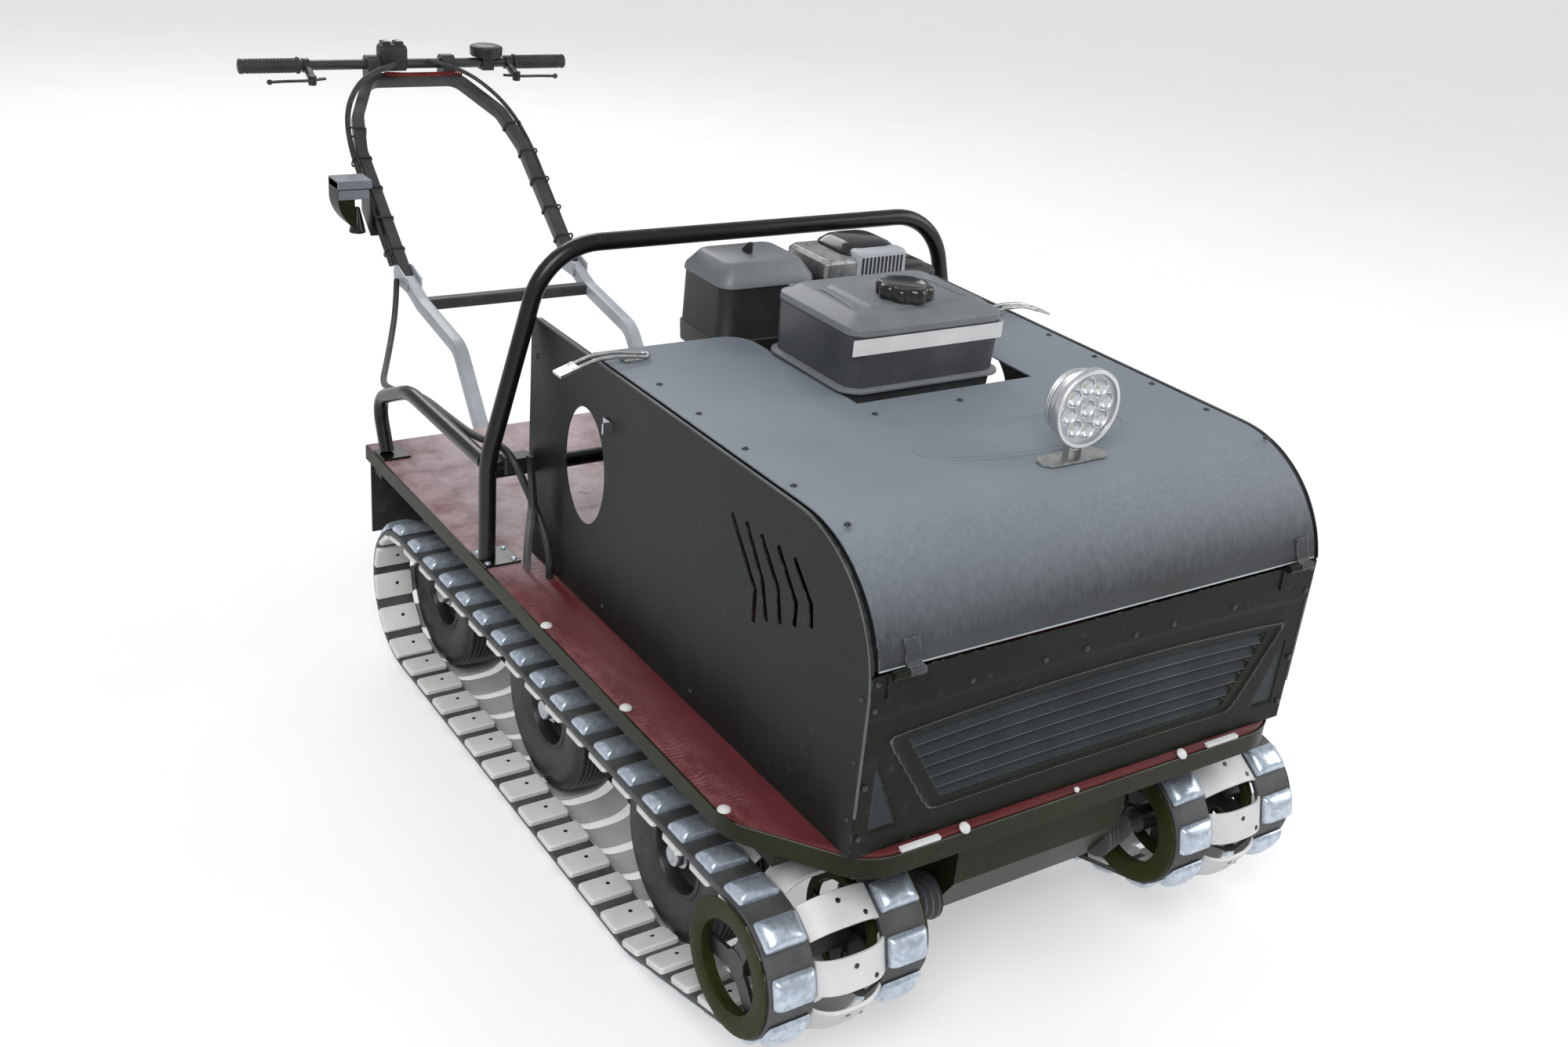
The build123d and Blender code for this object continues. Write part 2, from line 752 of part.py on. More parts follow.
# Recoil starter, on the engine's front under the tank.
recoil_z = 170
recoil_radius = 105
recoil_depth = 50
with BuildPart() as recoil:
    with BuildSketch(Plane.XZ.offset(-(front_y + block_y[0] - seat))):
        with Locations((engine_x, deck_top + recoil_z)):
            RegularPolygon(recoil_radius, 20)
    extrude(amount=recoil_depth)
    chamfer(recoil.edges().group_by(Axis.Y)[0], recoil_depth / 4)
save(recoil, "starter_housing")

muffler_x = (32, 256)
muffler_step = 186
muffler_y = (728, 850)
muffler_bottom = block_top + 40
muffler_top = 500
muffler_low_top = 462
muffler_round = 30
with BuildPart() as muffler:
    with BuildSketch(Plane.XZ.offset(-(front_y + muffler_y[0]))):
        with BuildLine():
            outline = (
                (muffler_x[0], muffler_bottom),
                (muffler_x[0], muffler_top),
                (muffler_step, muffler_top),
                (muffler_step + 20, muffler_low_top),
                (muffler_x[1], muffler_low_top),
                (muffler_x[1], muffler_bottom),
            )
            Polyline(*[(x, deck_top + z) for x, z in outline], close=True)
        make_face()
    extrude(amount=muffler_y[0] - muffler_y[1])
    fillet(muffler.edges().filter_by(Axis.Y).sort_by(Axis.X)[-2:], muffler_round)
    with BuildSketch(Plane.XY.offset(deck_top + block_top + seat)):
        with Locations((muffler_x[0] + 60, front_y + sum(muffler_y) / 2)):
            Rectangle(50, 50)
    extrude(amount=muffler_bottom - block_top - seat)
save(muffler, "muffler")

# Roll bar behind the hood, with its cross tube and feet.
roll_x = deck_half_width - 16
roll_knee = 168
roll_top = 497
roll_shoulder = roll_x - 89
foot_plate = 4
foot_half = 30
roll_points = (
    (-roll_x, front_y + roll_y, deck_top + foot_plate),
    (-roll_x, front_y + roll_y, deck_top + roll_knee),
    (-roll_shoulder, front_y + roll_y, deck_top + roll_top),
    (roll_shoulder, front_y + roll_y, deck_top + roll_top),
    (roll_x, front_y + roll_y, deck_top + roll_knee),
    (roll_x, front_y + roll_y, deck_top + foot_plate),
)
roll_hoop = round_tube(roll_points, (200, 110, 110, 200), roll_tube)
with BuildPart() as roll_bar:
    add(roll_hoop)
    with BuildSketch(side_plane(-roll_x)):
        with Locations((roll_y, cross_z)):
            Circle(roll_cross / 2)
    extrude(amount=2 * roll_x)
    with BuildSketch(Plane.XY.offset(deck_top)):
        with Locations((-roll_x + foot_half / 2, front_y + roll_y), (roll_x - foot_half / 2, front_y + roll_y)):
            Rectangle(foot_half + 2 * foot_half / 2, 2 * foot_half)
    extrude(amount=foot_plate)
save(roll_bar, "roll_bar")

# Side rails at the rear, from the roll bar down to the deck.
rail_x = deck_half_width - 18
rail_z = 161
rail_foot = 10
rail_points = (
    (roll_y + roll_tube / 2 + seat, rail_z),
    (deck_length - 171, rail_z),
    (deck_length - 20, 96),
    (deck_length - 60, rail_foot - 2),
)
with BuildPart() as rails:
    for way in (1, -1):
        path = [(way * rail_x, front_y + y, deck_top + z) for y, z in rail_points]
        add(round_tube(path, (150, 40), rail_tube))
    with BuildSketch(Plane.XY.offset(deck_top)):
        with Locations((10 - rail_x, deck_rear - 60), (rail_x - 10, deck_rear - 60)):
            Rectangle(50, 50)
    extrude(amount=rail_foot)
save(rails, "rear_rails")

# Handle: two lower tubes from the deck's rear edge, and a fork that folds on them.
handle_x = 190
fold_y = deck_length + 524
fold_z = 137
fold_clear = 24
ear_wall = 4
ear_gap = 1
ear_radius = 20
fold_bolt = 5
lower_cross_y = fold_y - 98
lower_cross_z = 102
lower_cross = 24
lower_start = deck_length - 96
lower_z = -deck_board - angle_leg - handle_tube / 2 - seat
rise = fold_z - lower_cross_z
run = fold_y - lower_cross_y
reach = sqrt(rise**2 + run**2)
lower_end = (fold_y - run * fold_clear / reach, fold_z - rise * fold_clear / reach)
lower_points = (
    (lower_start, lower_z),
    (deck_length + 114, lower_z),
    (deck_length + 232, 72),
    (lower_cross_y, lower_cross_z),
    lower_end,
)
with BuildPart() as base:
    for way in (1, -1):
        path = [(way * handle_x, front_y + y, deck_top + z) for y, z in lower_points]
        add(square_tube(path, (60, 60, 60), handle_tube))
        for face in (1, -1):
            ear_x = way * handle_x + face * (handle_tube / 2 + ear_gap)
            with BuildSketch(side_plane(ear_x)):
                with BuildLine():
                    Polyline(
                        (lower_end[0] - 30, lower_end[1] - 14),
                        (fold_y, fold_z - ear_radius),
                        (fold_y, fold_z + ear_radius),
                        (lower_end[0] - 30, lower_end[1] + 14),
                        close=True,
                    )
                make_face()
                with Locations((fold_y, fold_z)):
                    RegularPolygon(ear_radius, 12)
            extrude(amount=face * ear_wall)
            with BuildSketch(side_plane(way * handle_x + face * handle_tube / 2)):
                with BuildLine():
                    Polyline(
                        (lower_end[0] - 30, lower_end[1] - 12),
                        (lower_end[0] - 4, lower_end[1] - 9),
                        (lower_end[0] - 4, lower_end[1] + 9),
                        (lower_end[0] - 30, lower_end[1] + 6),
                        close=True,
                    )
                make_face()
            extrude(amount=face * ear_gap)
        with BuildSketch(side_plane(way * handle_x - handle_tube / 2 - ear_gap - ear_wall)):
            with Locations((fold_y, fold_z)):
                Circle(fold_bolt)
        extrude(amount=handle_tube + 2 * ear_gap + 2 * ear_wall)
    with BuildSketch(side_plane(-handle_x)):
        with Locations((lower_cross_y, lower_cross_z)):
            RegularPolygon(lower_cross / 2, 10)
    extrude(amount=2 * handle_x)
save(base, "handle_base")

bar_y = fold_y + 456
bar_z = 479
fork_points = (
    # out from the middle, back from the hood's front, up from the deck
    (handle_x, fold_y, fold_z),
    (handle_x - 2, fold_y + 254, 331),
    (handle_x - 22, fold_y + 330, 389),
    (104, bar_y - 16, 446),
)
with BuildPart() as fork:
    right_side = [(-x, front_y + y, deck_top + z) for x, y, z in fork_points]
    left_side = [(x, front_y + y, deck_top + z) for x, y, z in reversed(fork_points)]
    add(square_tube([*right_side, *left_side], (80, 70, 40, 40, 70, 80), handle_tube))
    for way in (1, -1):
        with BuildSketch(side_plane(way * handle_x - handle_tube / 2)):
            with Locations((fold_y, fold_z)):
                RegularPolygon(handle_tube / 2, 12)
        extrude(amount=handle_tube)
        with BuildSketch(side_plane(way * handle_x - handle_tube)):
            with Locations((fold_y, fold_z)):
                Circle(fold_bolt + seat)
        extrude(amount=2 * handle_tube, mode=Mode.SUBTRACT)
save(fork, "handle_fork")

# Cable bundle: up from the deck beside the hood, past the roll bar's leg, along the right rail's inside,
# and over to the handle's fold, where it goes on up the fork to the switches.
cable_in = rail_x - rail_tube / 2 - cable_width / 2 - 1
ear_side = handle_x + handle_tube / 2 + ear_gap + ear_wall
rail_route = (
    (387, 792, 0),
    (387, 792, 34),
    (389, 808, 68),
    (394, 834, 102),
    (404, 850, 136),
    (414, 862, 166),
    (421, 886, 184),
    (425, 926, 180),
    (cable_in, 985, 166),
    (cable_in + 1, 1090, 160),
    (cable_in, 1210, 154),
    (cable_in - 1, deck_length - 88, 126),
    (cable_in - 8, deck_length - 10, 104),
    (400, deck_length + 90, 76),
    (345, deck_length + 220, 58),
    (286, deck_length + 350, 62),
    (238, deck_length + 450, 92),
    (ear_side + cable_width / 2 + 0.5, fold_y - 16, fold_z - 6),
)
with BuildPart() as rail_cable:
    add(cable_run([(-x, front_y + y, deck_top + z) for x, y, z in rail_route], cable_width))
save(rail_cable, "rail_cable")

fork_side = handle_tube / 2 + cable_width / 2 + 0.5
switch_half = 19
fork_route = (
    (handle_x + fork_side, fold_y + 24, fold_z + 14),
    (handle_x + fork_side, fold_y + 70, fold_z + 52),
    (handle_x + fork_side - 1, fold_y + 160, fold_z + 124),
    (handle_x + fork_side, fold_y + 258, fold_z + 200),
    (handle_x + fork_side - 18, fold_y + 336, fold_z + 264),
    (146, fold_y + 388, fold_z + 312),
    (104, fold_y + 402, fold_z + 334),
    (66, fold_y + 404, fold_z + 346),
    (46, fold_y + 416, fold_z + 349),
    (46, bar_y - switch_half, fold_z + 349),
)
with BuildPart() as fork_cable:
    add(cable_run([(-x, front_y + y, deck_top + z) for x, y, z in fork_route], cable_width))
save(fork_cable, "fork_cable")

# Small lamp beside the fork's right tube: a bent housing, a cone under it, and the bracket that carries both.
side_lamp_y = fold_y + 92
side_lamp_in = handle_x + fork_side + cable_width / 2 + 8
side_lamp_width = 72
side_lamp_depth = 62
side_lamp_top = 314
side_lamp_face = 42
side_lamp_drop = 104
side_lamp_lip = 26
bracket_wall = 4
bracket_half = 26
fork_rise = (fork_points[1][2] - fold_z) / (fork_points[1][1] - fold_y)
bracket_z = fold_z + (side_lamp_y + side_lamp_depth / 2 - fold_y) * fork_rise
bracket_drop = handle_tube / 2 * sqrt(1 + fork_rise**2) + 0.3
with BuildPart() as side_lamp:
    lamp_plane = Plane(origin=(0, front_y + side_lamp_y, deck_top), x_dir=(1, 0, 0), z_dir=(0, -1, 0))
    with BuildSketch(lamp_plane):
        with BuildLine():
            low_corner = (-side_lamp_in - side_lamp_width, side_lamp_top - side_lamp_face)
            low_end = (-side_lamp_in - side_lamp_width / 2, side_lamp_top - side_lamp_drop)
            line = Polyline(
                low_end,
                (-side_lamp_in - side_lamp_width / 2, side_lamp_top - side_lamp_lip),
                (-side_lamp_in, side_lamp_top - side_lamp_lip),
                (-side_lamp_in, side_lamp_top),
                (-side_lamp_in - side_lamp_width, side_lamp_top),
                low_corner,
            )
            RadiusArc(low_corner, low_end, -side_lamp_drop)
        make_face()
    extrude(amount=-side_lamp_depth)
    with BuildSketch(side_plane(-side_lamp_in - bracket_wall)):
        with BuildLine():
            middle = side_lamp_y + side_lamp_depth / 2
            Polyline(
                (middle - bracket_half, bracket_z - bracket_drop - bracket_half * fork_rise),
                (middle + bracket_half, bracket_z - bracket_drop + bracket_half * fork_rise),
                (middle + bracket_half, side_lamp_top - side_lamp_lip),
                (middle - bracket_half, side_lamp_top - side_lamp_lip),
                close=True,
            )
        make_face()
    extrude(amount=bracket_wall)
    with BuildSketch(side_plane(-side_lamp_in - bracket_wall)):
        with BuildLine():
            Polyline(
                (middle - bracket_half, bracket_z - bracket_drop - bracket_half * fork_rise),
                (middle + bracket_half, bracket_z - bracket_drop + bracket_half * fork_rise),
                (middle + bracket_half, bracket_z - bracket_drop + bracket_half * fork_rise - bracket_wall),
                (middle - bracket_half, bracket_z - bracket_drop - bracket_half * fork_rise - bracket_wall),
                close=True,
            )
        make_face()
    extrude(amount=side_lamp_in + bracket_wall - handle_x)
    with BuildSketch(Plane.XY.offset(deck_top + side_lamp_top - side_lamp_drop - 14)):
        with Locations((-side_lamp_in - bracket_wall - 18, front_y + middle)):
            RegularPolygon(20, 12)
    extrude(amount=60, taper=14)
save(side_lamp, "side_lamp")

# Straight handlebar, its clamps, grips and levers.
bar_half = 382
bar_clamp_x = 88
bar_bore = bar_tube / 2 + seat
grip_length = 130
grip_radius = 16
with BuildPart() as bar:
    with BuildSketch(side_plane(-bar_half)):
        with Locations((bar_y, bar_z)):
            RegularPolygon(bar_tube / 2, 12)
    extrude(amount=2 * bar_half)
save(bar, "handlebar")

clamp_width = 30
clamp_half = 19
with BuildPart() as clamps:
    for way in (1, -1):
        with BuildSketch(side_plane(way * bar_clamp_x - clamp_width / 2)):
            with Locations((bar_y, bar_z + clamp_half)):
                Rectangle(2 * clamp_half, 2.6 * clamp_half, align=(Align.CENTER, Align.MAX))
            with Locations((bar_y, bar_z)):
                RegularPolygon(bar_bore, 12, mode=Mode.SUBTRACT)
    extrude(amount=clamp_width)
    chamfer(clamps.edges().filter_by(Axis.X).group_by(Axis.Z)[-1], clamp_half / 2)
    add(fork.part, mode=Mode.SUBTRACT)
save(clamps, "bar_clamps")

with BuildPart() as grips:
    for way in (1, -1):
        with BuildSketch(side_plane(way * (bar_half + seat))):
            with Locations((bar_y, bar_z)):
                RegularPolygon(grip_radius, 16)
                RegularPolygon(bar_bore, 12, mode=Mode.SUBTRACT)
        extrude(amount=-way * grip_length)
save(grips, "bar_grips")

# Brake levers: a strap round the bar, a holder before it and a thin blade along the grip.
lever_x = bar_half - grip_length - 14
lever_reach = 50
lever_drop = 22
lever_out = 100
with BuildPart() as levers:
    for way in (1, -1):
        with BuildSketch(side_plane(way * lever_x - 6)):
            with BuildLine():
                Polyline(
                    (bar_y + 15, bar_z + 15),
                    (bar_y - 15, bar_z + 15),
                    (bar_y - lever_reach - 8, bar_z - lever_drop + 8),
                    (bar_y - lever_reach - 8, bar_z - lever_drop - 8),
                    (bar_y - 15, bar_z - 15),
                    (bar_y + 15, bar_z - 15),
                    close=True,
                )
            make_face()
            with Locations((bar_y, bar_z)):
                RegularPolygon(bar_bore, 12, mode=Mode.SUBTRACT)
        extrude(amount=12)
        with BuildSketch(Plane.XY.offset(deck_top + bar_z - lever_drop - 4)):
            with BuildLine():
                Polyline(
                    (way * (lever_x - 34), front_y + bar_y - lever_reach - 6),
                    (way * (lever_x + lever_out), front_y + bar_y - lever_reach - 12),
                    (way * (lever_x + lever_out), front_y + bar_y - lever_reach - 4),
                    (way * (lever_x - 34), front_y + bar_y - lever_reach + 8),
                    close=True,
                )
            make_face()
        extrude(amount=7)
save(levers, "brake_levers")

# Pods on the bar beside the clamps: two rocker switches, and a round domed gauge.
pod_gap = 1
switch_width = 62
switch_height = 44
switch_start = -bar_clamp_x + clamp_width / 2 + pod_gap
with BuildPart() as switch_pod:
    with BuildSketch(side_plane(switch_start)):
        with Locations((bar_y, bar_z)):
            Rectangle(2 * switch_half, switch_height, align=(Align.CENTER, Align.MIN))
            Rectangle(30, 26)
            RegularPolygon(bar_bore, 12, mode=Mode.SUBTRACT)
    extrude(amount=switch_width)
    chamfer(switch_pod.edges().filter_by(Axis.X).group_by(Axis.Z)[-1], 8)
save(switch_pod, "switch_pod")
gauge_x = 186
gauge_radius = 38
gauge_height = 28
with BuildPart() as gauge:
    with BuildSketch(side_plane(gauge_x - 14)):
        with Locations((bar_y, bar_z)):
            Rectangle(30, 32)
            RegularPolygon(bar_bore, 12, mode=Mode.SUBTRACT)
    extrude(amount=28)
    with BuildSketch(Plane.XY.offset(deck_top + bar_z + 14)):
        with Locations((gauge_x, front_y + bar_y)):
            RegularPolygon(gauge_radius, 20)
    extrude(amount=gauge_height)
    chamfer(gauge.edges().group_by(Axis.Z)[-1], 10)
save(gauge, "gauge_pod")

# Draw latches: a hook on each side panel, and a strap from the cover that stands out over it.
catch_y = 642
catch_z = 310
strap_y = hood_length * 0.745
strap_width = 26
strap_wall = 5
strap_foot = hood_half_width - 68
strap_reach = hood_half_width + 70
with BuildPart() as catches:
    for way in (1, -1):
        with BuildSketch(Plane.XY.offset(deck_top + catch_z - 8)):
            with BuildLine():
                Polyline(
                    (way * (hood_half_width + seat), front_y + catch_y - 12),
                    (way * (hood_half_width + 16), front_y + catch_y - 12),
                    (way * (hood_half_width + 16), front_y + catch_y - 8),
                    (way * (hood_half_width + 4), front_y + catch_y - 8),
                    (way * (hood_half_width + 4), front_y + catch_y + 12),
                    (way * (hood_half_width + seat), front_y + catch_y + 12),
                    close=True,
                )
            make_face()
    extrude(amount=16)
save(catches, "latch_catches")
with BuildPart() as straps:
    for way in (1, -1):
        with BuildSketch(Plane.XZ.offset(-(front_y + strap_y - strap_width / 2))):
            with BuildLine():
                strap_z = deck_top + hood_height
                Polyline(
                    (way * strap_foot, strap_z + seat),
                    (way * strap_foot, strap_z + 2 * strap_wall),
                    (way * (hood_half_width + 4), strap_z + 3 * strap_wall),
                    (way * strap_reach, strap_z - 6),
                    (way * (strap_reach - 3), strap_z - 6 - strap_wall),
                    (way * (hood_half_width + 2), strap_z + 2 * strap_wall - 1),
                    (way * (strap_foot + 12), strap_z + strap_wall + 1),
                    (way * (strap_foot + 12), strap_z + seat),
                    close=True,
                )
            make_face()
    extrude(amount=-strap_width)
save(straps, "latch_straps")

# Mud flaps behind the tracks, hung from the frame.
flap_top = frame_bottom + 30
flap_height = 150
flap_wall = 4
with BuildPart() as flaps:
    for way in (1, -1):
        with BuildSketch(Plane.XZ.offset(-deck_rear - seat)):
            with Locations((way * (track_outer + track_inner) / 2, flap_top)):
                Rectangle(220, flap_height, align=(Align.CENTER, Align.MAX))
        extrude(amount=-flap_wall)
save(flaps, "mud_flaps")

# Tow hitch under the deck's rear: a drawbar with a pin hole.
hitch_half = 30
hitch_reach = 70
hitch_wall = 12
hitch_radius = 9
hitch_z = frame_bottom - hitch_wall - seat
with BuildPart() as hitch:
    with BuildSketch(Plane.XY.offset(hitch_z)):
        with Locations((0, deck_rear - 80)):
            Rectangle(1.9 * hitch_half, 80 + hitch_reach, align=(Align.CENTER, Align.MIN))
        with Locations((0, deck_rear + hitch_reach)):
            RegularPolygon(hitch_half, 12, rotation=15)
            Circle(hitch_radius, mode=Mode.SUBTRACT)
    extrude(amount=hitch_wall)
save(hitch, "tow_hitch")

# Shift lever beside the hood: a bent flat bar on a pivot plate.
lever_side = -deck_half_width + 55
with BuildPart() as shift:
    with BuildSketch(side_plane(lever_side)):
        with BuildLine() as lever_line:
            Polyline((830, 1), (826, 60), (812, 130), (826, 194))
        trace(line_width=16)
    extrude(amount=6)
save(shift, "shift_lever")
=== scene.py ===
"""Looks for the tracked snow tug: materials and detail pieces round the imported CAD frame."""

import json
import math

import bmesh
import bpy
from mathutils import Matrix, Vector


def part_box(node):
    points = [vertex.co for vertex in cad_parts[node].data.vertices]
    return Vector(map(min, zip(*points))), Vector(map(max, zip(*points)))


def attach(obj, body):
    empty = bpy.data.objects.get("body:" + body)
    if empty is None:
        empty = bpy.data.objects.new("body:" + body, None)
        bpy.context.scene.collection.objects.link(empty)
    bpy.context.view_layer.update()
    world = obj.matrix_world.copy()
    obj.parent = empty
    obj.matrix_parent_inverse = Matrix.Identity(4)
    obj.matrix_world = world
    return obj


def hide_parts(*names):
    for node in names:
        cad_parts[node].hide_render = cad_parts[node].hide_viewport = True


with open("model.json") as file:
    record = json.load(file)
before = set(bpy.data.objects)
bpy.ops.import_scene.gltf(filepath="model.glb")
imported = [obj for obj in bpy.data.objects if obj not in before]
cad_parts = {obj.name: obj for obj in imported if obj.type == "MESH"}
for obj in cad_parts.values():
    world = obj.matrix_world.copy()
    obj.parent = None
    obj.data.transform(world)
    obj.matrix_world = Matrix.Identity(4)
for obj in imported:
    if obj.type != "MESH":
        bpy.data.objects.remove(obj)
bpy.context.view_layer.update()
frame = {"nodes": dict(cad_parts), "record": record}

FRONT_Y = -1193.5
DECK_TOP = 394.0


def spot(x, y, z):
    """A place in mm of the shared frame, from one across, back from the hood's front and up from the deck."""
    return Vector((x, FRONT_Y + y, DECK_TOP + z))


# Camera, solved from the hood's edges in the photograph.
CAMERA_PLACE = (-1.3661, -2.3946, 1.5534)
CAMERA_RIGHT = Vector((0.81625, -0.57771, 0.0))
CAMERA_DOWN = Vector((-0.24541, -0.34674, -0.90530))
CAMERA_FORWARD = Vector((0.52300, 0.73894, -0.42479))
CAMERA_ROLL = math.radians(5.520)
camera_data = bpy.data.cameras.new("camera")
camera_data.sensor_width = 36
camera_data.lens = 36.85
camera = bpy.data.objects.new("camera", camera_data)
bpy.context.scene.collection.objects.link(camera)
roll_cos, roll_sin = math.cos(CAMERA_ROLL), math.sin(CAMERA_ROLL)
right = roll_cos * CAMERA_RIGHT - roll_sin * CAMERA_DOWN
down = roll_sin * CAMERA_RIGHT + roll_cos * CAMERA_DOWN
axes = Matrix((right, -down, -CAMERA_FORWARD)).transposed().to_4x4()
camera.matrix_world = Matrix.Translation(CAMERA_PLACE) @ axes
bpy.context.scene.camera = camera
bpy.context.scene.view_settings.view_transform = "Standard"


class Nodes:
    """A short way to write the node tree of a material or the world."""

    def __init__(self, holder, output="ShaderNodeOutputMaterial"):
        holder.use_nodes = True
        self.holder, self.tree = holder, holder.node_tree
        self.tree.nodes.clear()
        self.output = self.tree.nodes.new(output)

    def add(self, kind, inputs=None, **settings):
        node = self.tree.nodes.new(kind)
        for key, value in settings.items():
            setattr(node, key, value)
        for key, value in (inputs or {}).items():
            self.put(node.inputs[key], value)
        return node

    def put(self, socket, value):
        if isinstance(value, bpy.types.NodeSocket):
            self.tree.links.new(value, socket)
        else:
            socket.default_value = value

    def place(self):
        """Object coordinates, in metres of the shared frame."""
        return self.add("ShaderNodeTexCoord").outputs["Object"]

    def part_of(self, vector, axis):
        return self.add("ShaderNodeSeparateXYZ", {"Vector": vector}).outputs[axis]

    def noise(self, scale, detail=4.0, roughness=0.55, stretch=None, seed=0.0):
        vector = self.place()
        if stretch or seed:
            shift = (seed, seed * 0.7, seed * 1.3)
            inputs = {"Vector": vector, "Scale": stretch or (1, 1, 1), "Location": shift}
            vector = self.add("ShaderNodeMapping", inputs).outputs["Vector"]
        inputs = {"Vector": vector, "Scale": scale, "Detail": detail, "Roughness": roughness}
        return self.add("ShaderNodeTexNoise", inputs).outputs["Fac"]

    def ramp(self, value, low, high, start=(0, 0, 0, 1), end=(1, 1, 1, 1)):
        node = self.add("ShaderNodeValToRGB", {"Fac": value})
        for element, position, color in zip(node.color_ramp.elements, (low, high), (start, end)):
            element.position = position
            element.color = color
        return node.outputs["Color"]

    def math(self, operation, first, second=0.0):
        return self.add("ShaderNodeMath", {0: first, 1: second}, operation=operation).outputs["Value"]

    def plus(self, first, second):
        return self.math("ADD", first, second)

    def times(self, first, second):
        return self.math("MULTIPLY", first, second)

    def ragged(self, value, noise, amount):
        """A value with noise about zero added."""
        return self.plus(value, self.times(self.math("SUBTRACT", noise, 0.5), amount))

    def mix(self, factor, first, second):
        inputs = {"Factor": factor, "A": first, "B": second}
        return self.add("ShaderNodeMix", inputs, data_type="RGBA", blend_type="MIX").outputs["Result"]

    def lay(self, color, over, mask, share):
        """A colour laid over another where a mask says."""
        return self.mix(self.times(mask, share), color, over)

    def bump(self, height, strength, distance=0.0006):
        inputs = {"Height": height, "Strength": strength, "Distance": distance}
        return self.add("ShaderNodeBump", inputs).outputs["Normal"]

    def edges(self, radius=0.0015):
        """About 1 on edges and 0 on flats, from how far a rounded normal leaves the true one."""
        round_normal = self.add("ShaderNodeBevel", {"Radius": radius}, samples=4).outputs["Normal"]
        normal = self.add("ShaderNodeNewGeometry").outputs["Normal"]
        turn = self.add("ShaderNodeVectorMath", {0: round_normal, 1: normal}, operation="DOT_PRODUCT")
        return self.ramp(turn.outputs["Value"], 0.80, 0.97, (1, 1, 1, 1), (0, 0, 0, 1))

    def finish(self, **inputs):
        shader = self.add("ShaderNodeBsdfPrincipled", {key.replace("_", " "): value for key, value in inputs.items()})
        self.put(self.output.inputs["Surface"], shader.outputs["BSDF"])
        return self.holder


def material_nodes(name):
    return Nodes(bpy.data.materials.new(name))


def grey(value, red=1.0, green=1.0, blue=1.0):
    return (value * red, value * green, value * blue, 1.0)


SCRATCH_STRETCH = (1, 0.25, 0.6)


def painted(name, base, high, roughness, wear=0.0, gloss=0.5, bump=0.08):
    """Paint or powder coat: cloudy colour, fine orange peel, dust, and worn edges."""
    n = material_nodes(name)
    cloud = n.noise(9, 5, 0.6, seed=1.7)
    color = n.mix(n.ramp(cloud, 0.35, 0.7), base, high)
    dust = n.ramp(n.noise(55, 6, 0.7, seed=4.1), 0.60, 0.80)
    color = n.lay(color, (0.16, 0.155, 0.145, 1), dust, 0.25)
    if wear:
        scratch = n.noise(160, 3, 0.6, SCRATCH_STRETCH, seed=2.2)
        color = n.lay(color, grey(0.3), n.times(n.ramp(scratch, 0.52, 0.60), n.edges()), wear)
    rough = n.plus(n.times(cloud, 0.18), roughness - 0.09)
    normal = n.bump(n.noise(900, 2, 0.5), bump)
    return n.finish(Base_Color=color, Roughness=rough, Specular_IOR_Level=gloss, Normal=normal)


def rubber(name, base, high, roughness):
    """Rubber: fine grain, paler dust in patches."""
    n = material_nodes(name)
    fine = n.noise(700, 4, 0.6, seed=0.4)
    color = n.mix(n.ramp(n.noise(14, 5, 0.65, seed=3.3), 0.35, 0.68), base, high)
    dust = n.ramp(n.noise(70, 6, 0.7, seed=5.2), 0.5, 0.8)
    color = n.lay(color, (0.16, 0.15, 0.14, 1), dust, 0.3)
    rough = n.plus(n.times(fine, 0.2), roughness - 0.1)
    return n.finish(Base_Color=color, Roughness=rough, Normal=n.bump(fine, 0.25, 0.0008))


def metal(name, base, high, roughness, spangle=140, metallic=1.0):
    """Bare or plated metal: spangle, faint scratches, cloudy roughness."""
    n = material_nodes(name)
    cell = n.add("ShaderNodeTexVoronoi", {"Vector": n.place(), "Scale": spangle}).outputs["Color"]
    tone = n.add("ShaderNodeRGBToBW", {"Color": cell}).outputs["Val"]
    streak = n.noise(420, 3, 0.6, seed=1.1)
    color = n.lay(base, high, tone, 0.8)
    rough = n.plus(n.times(streak, 0.22), roughness - 0.08)
    return n.finish(Base_Color=color, Metallic=metallic, Roughness=rough, Normal=n.bump(streak, 0.05, 0.0005))


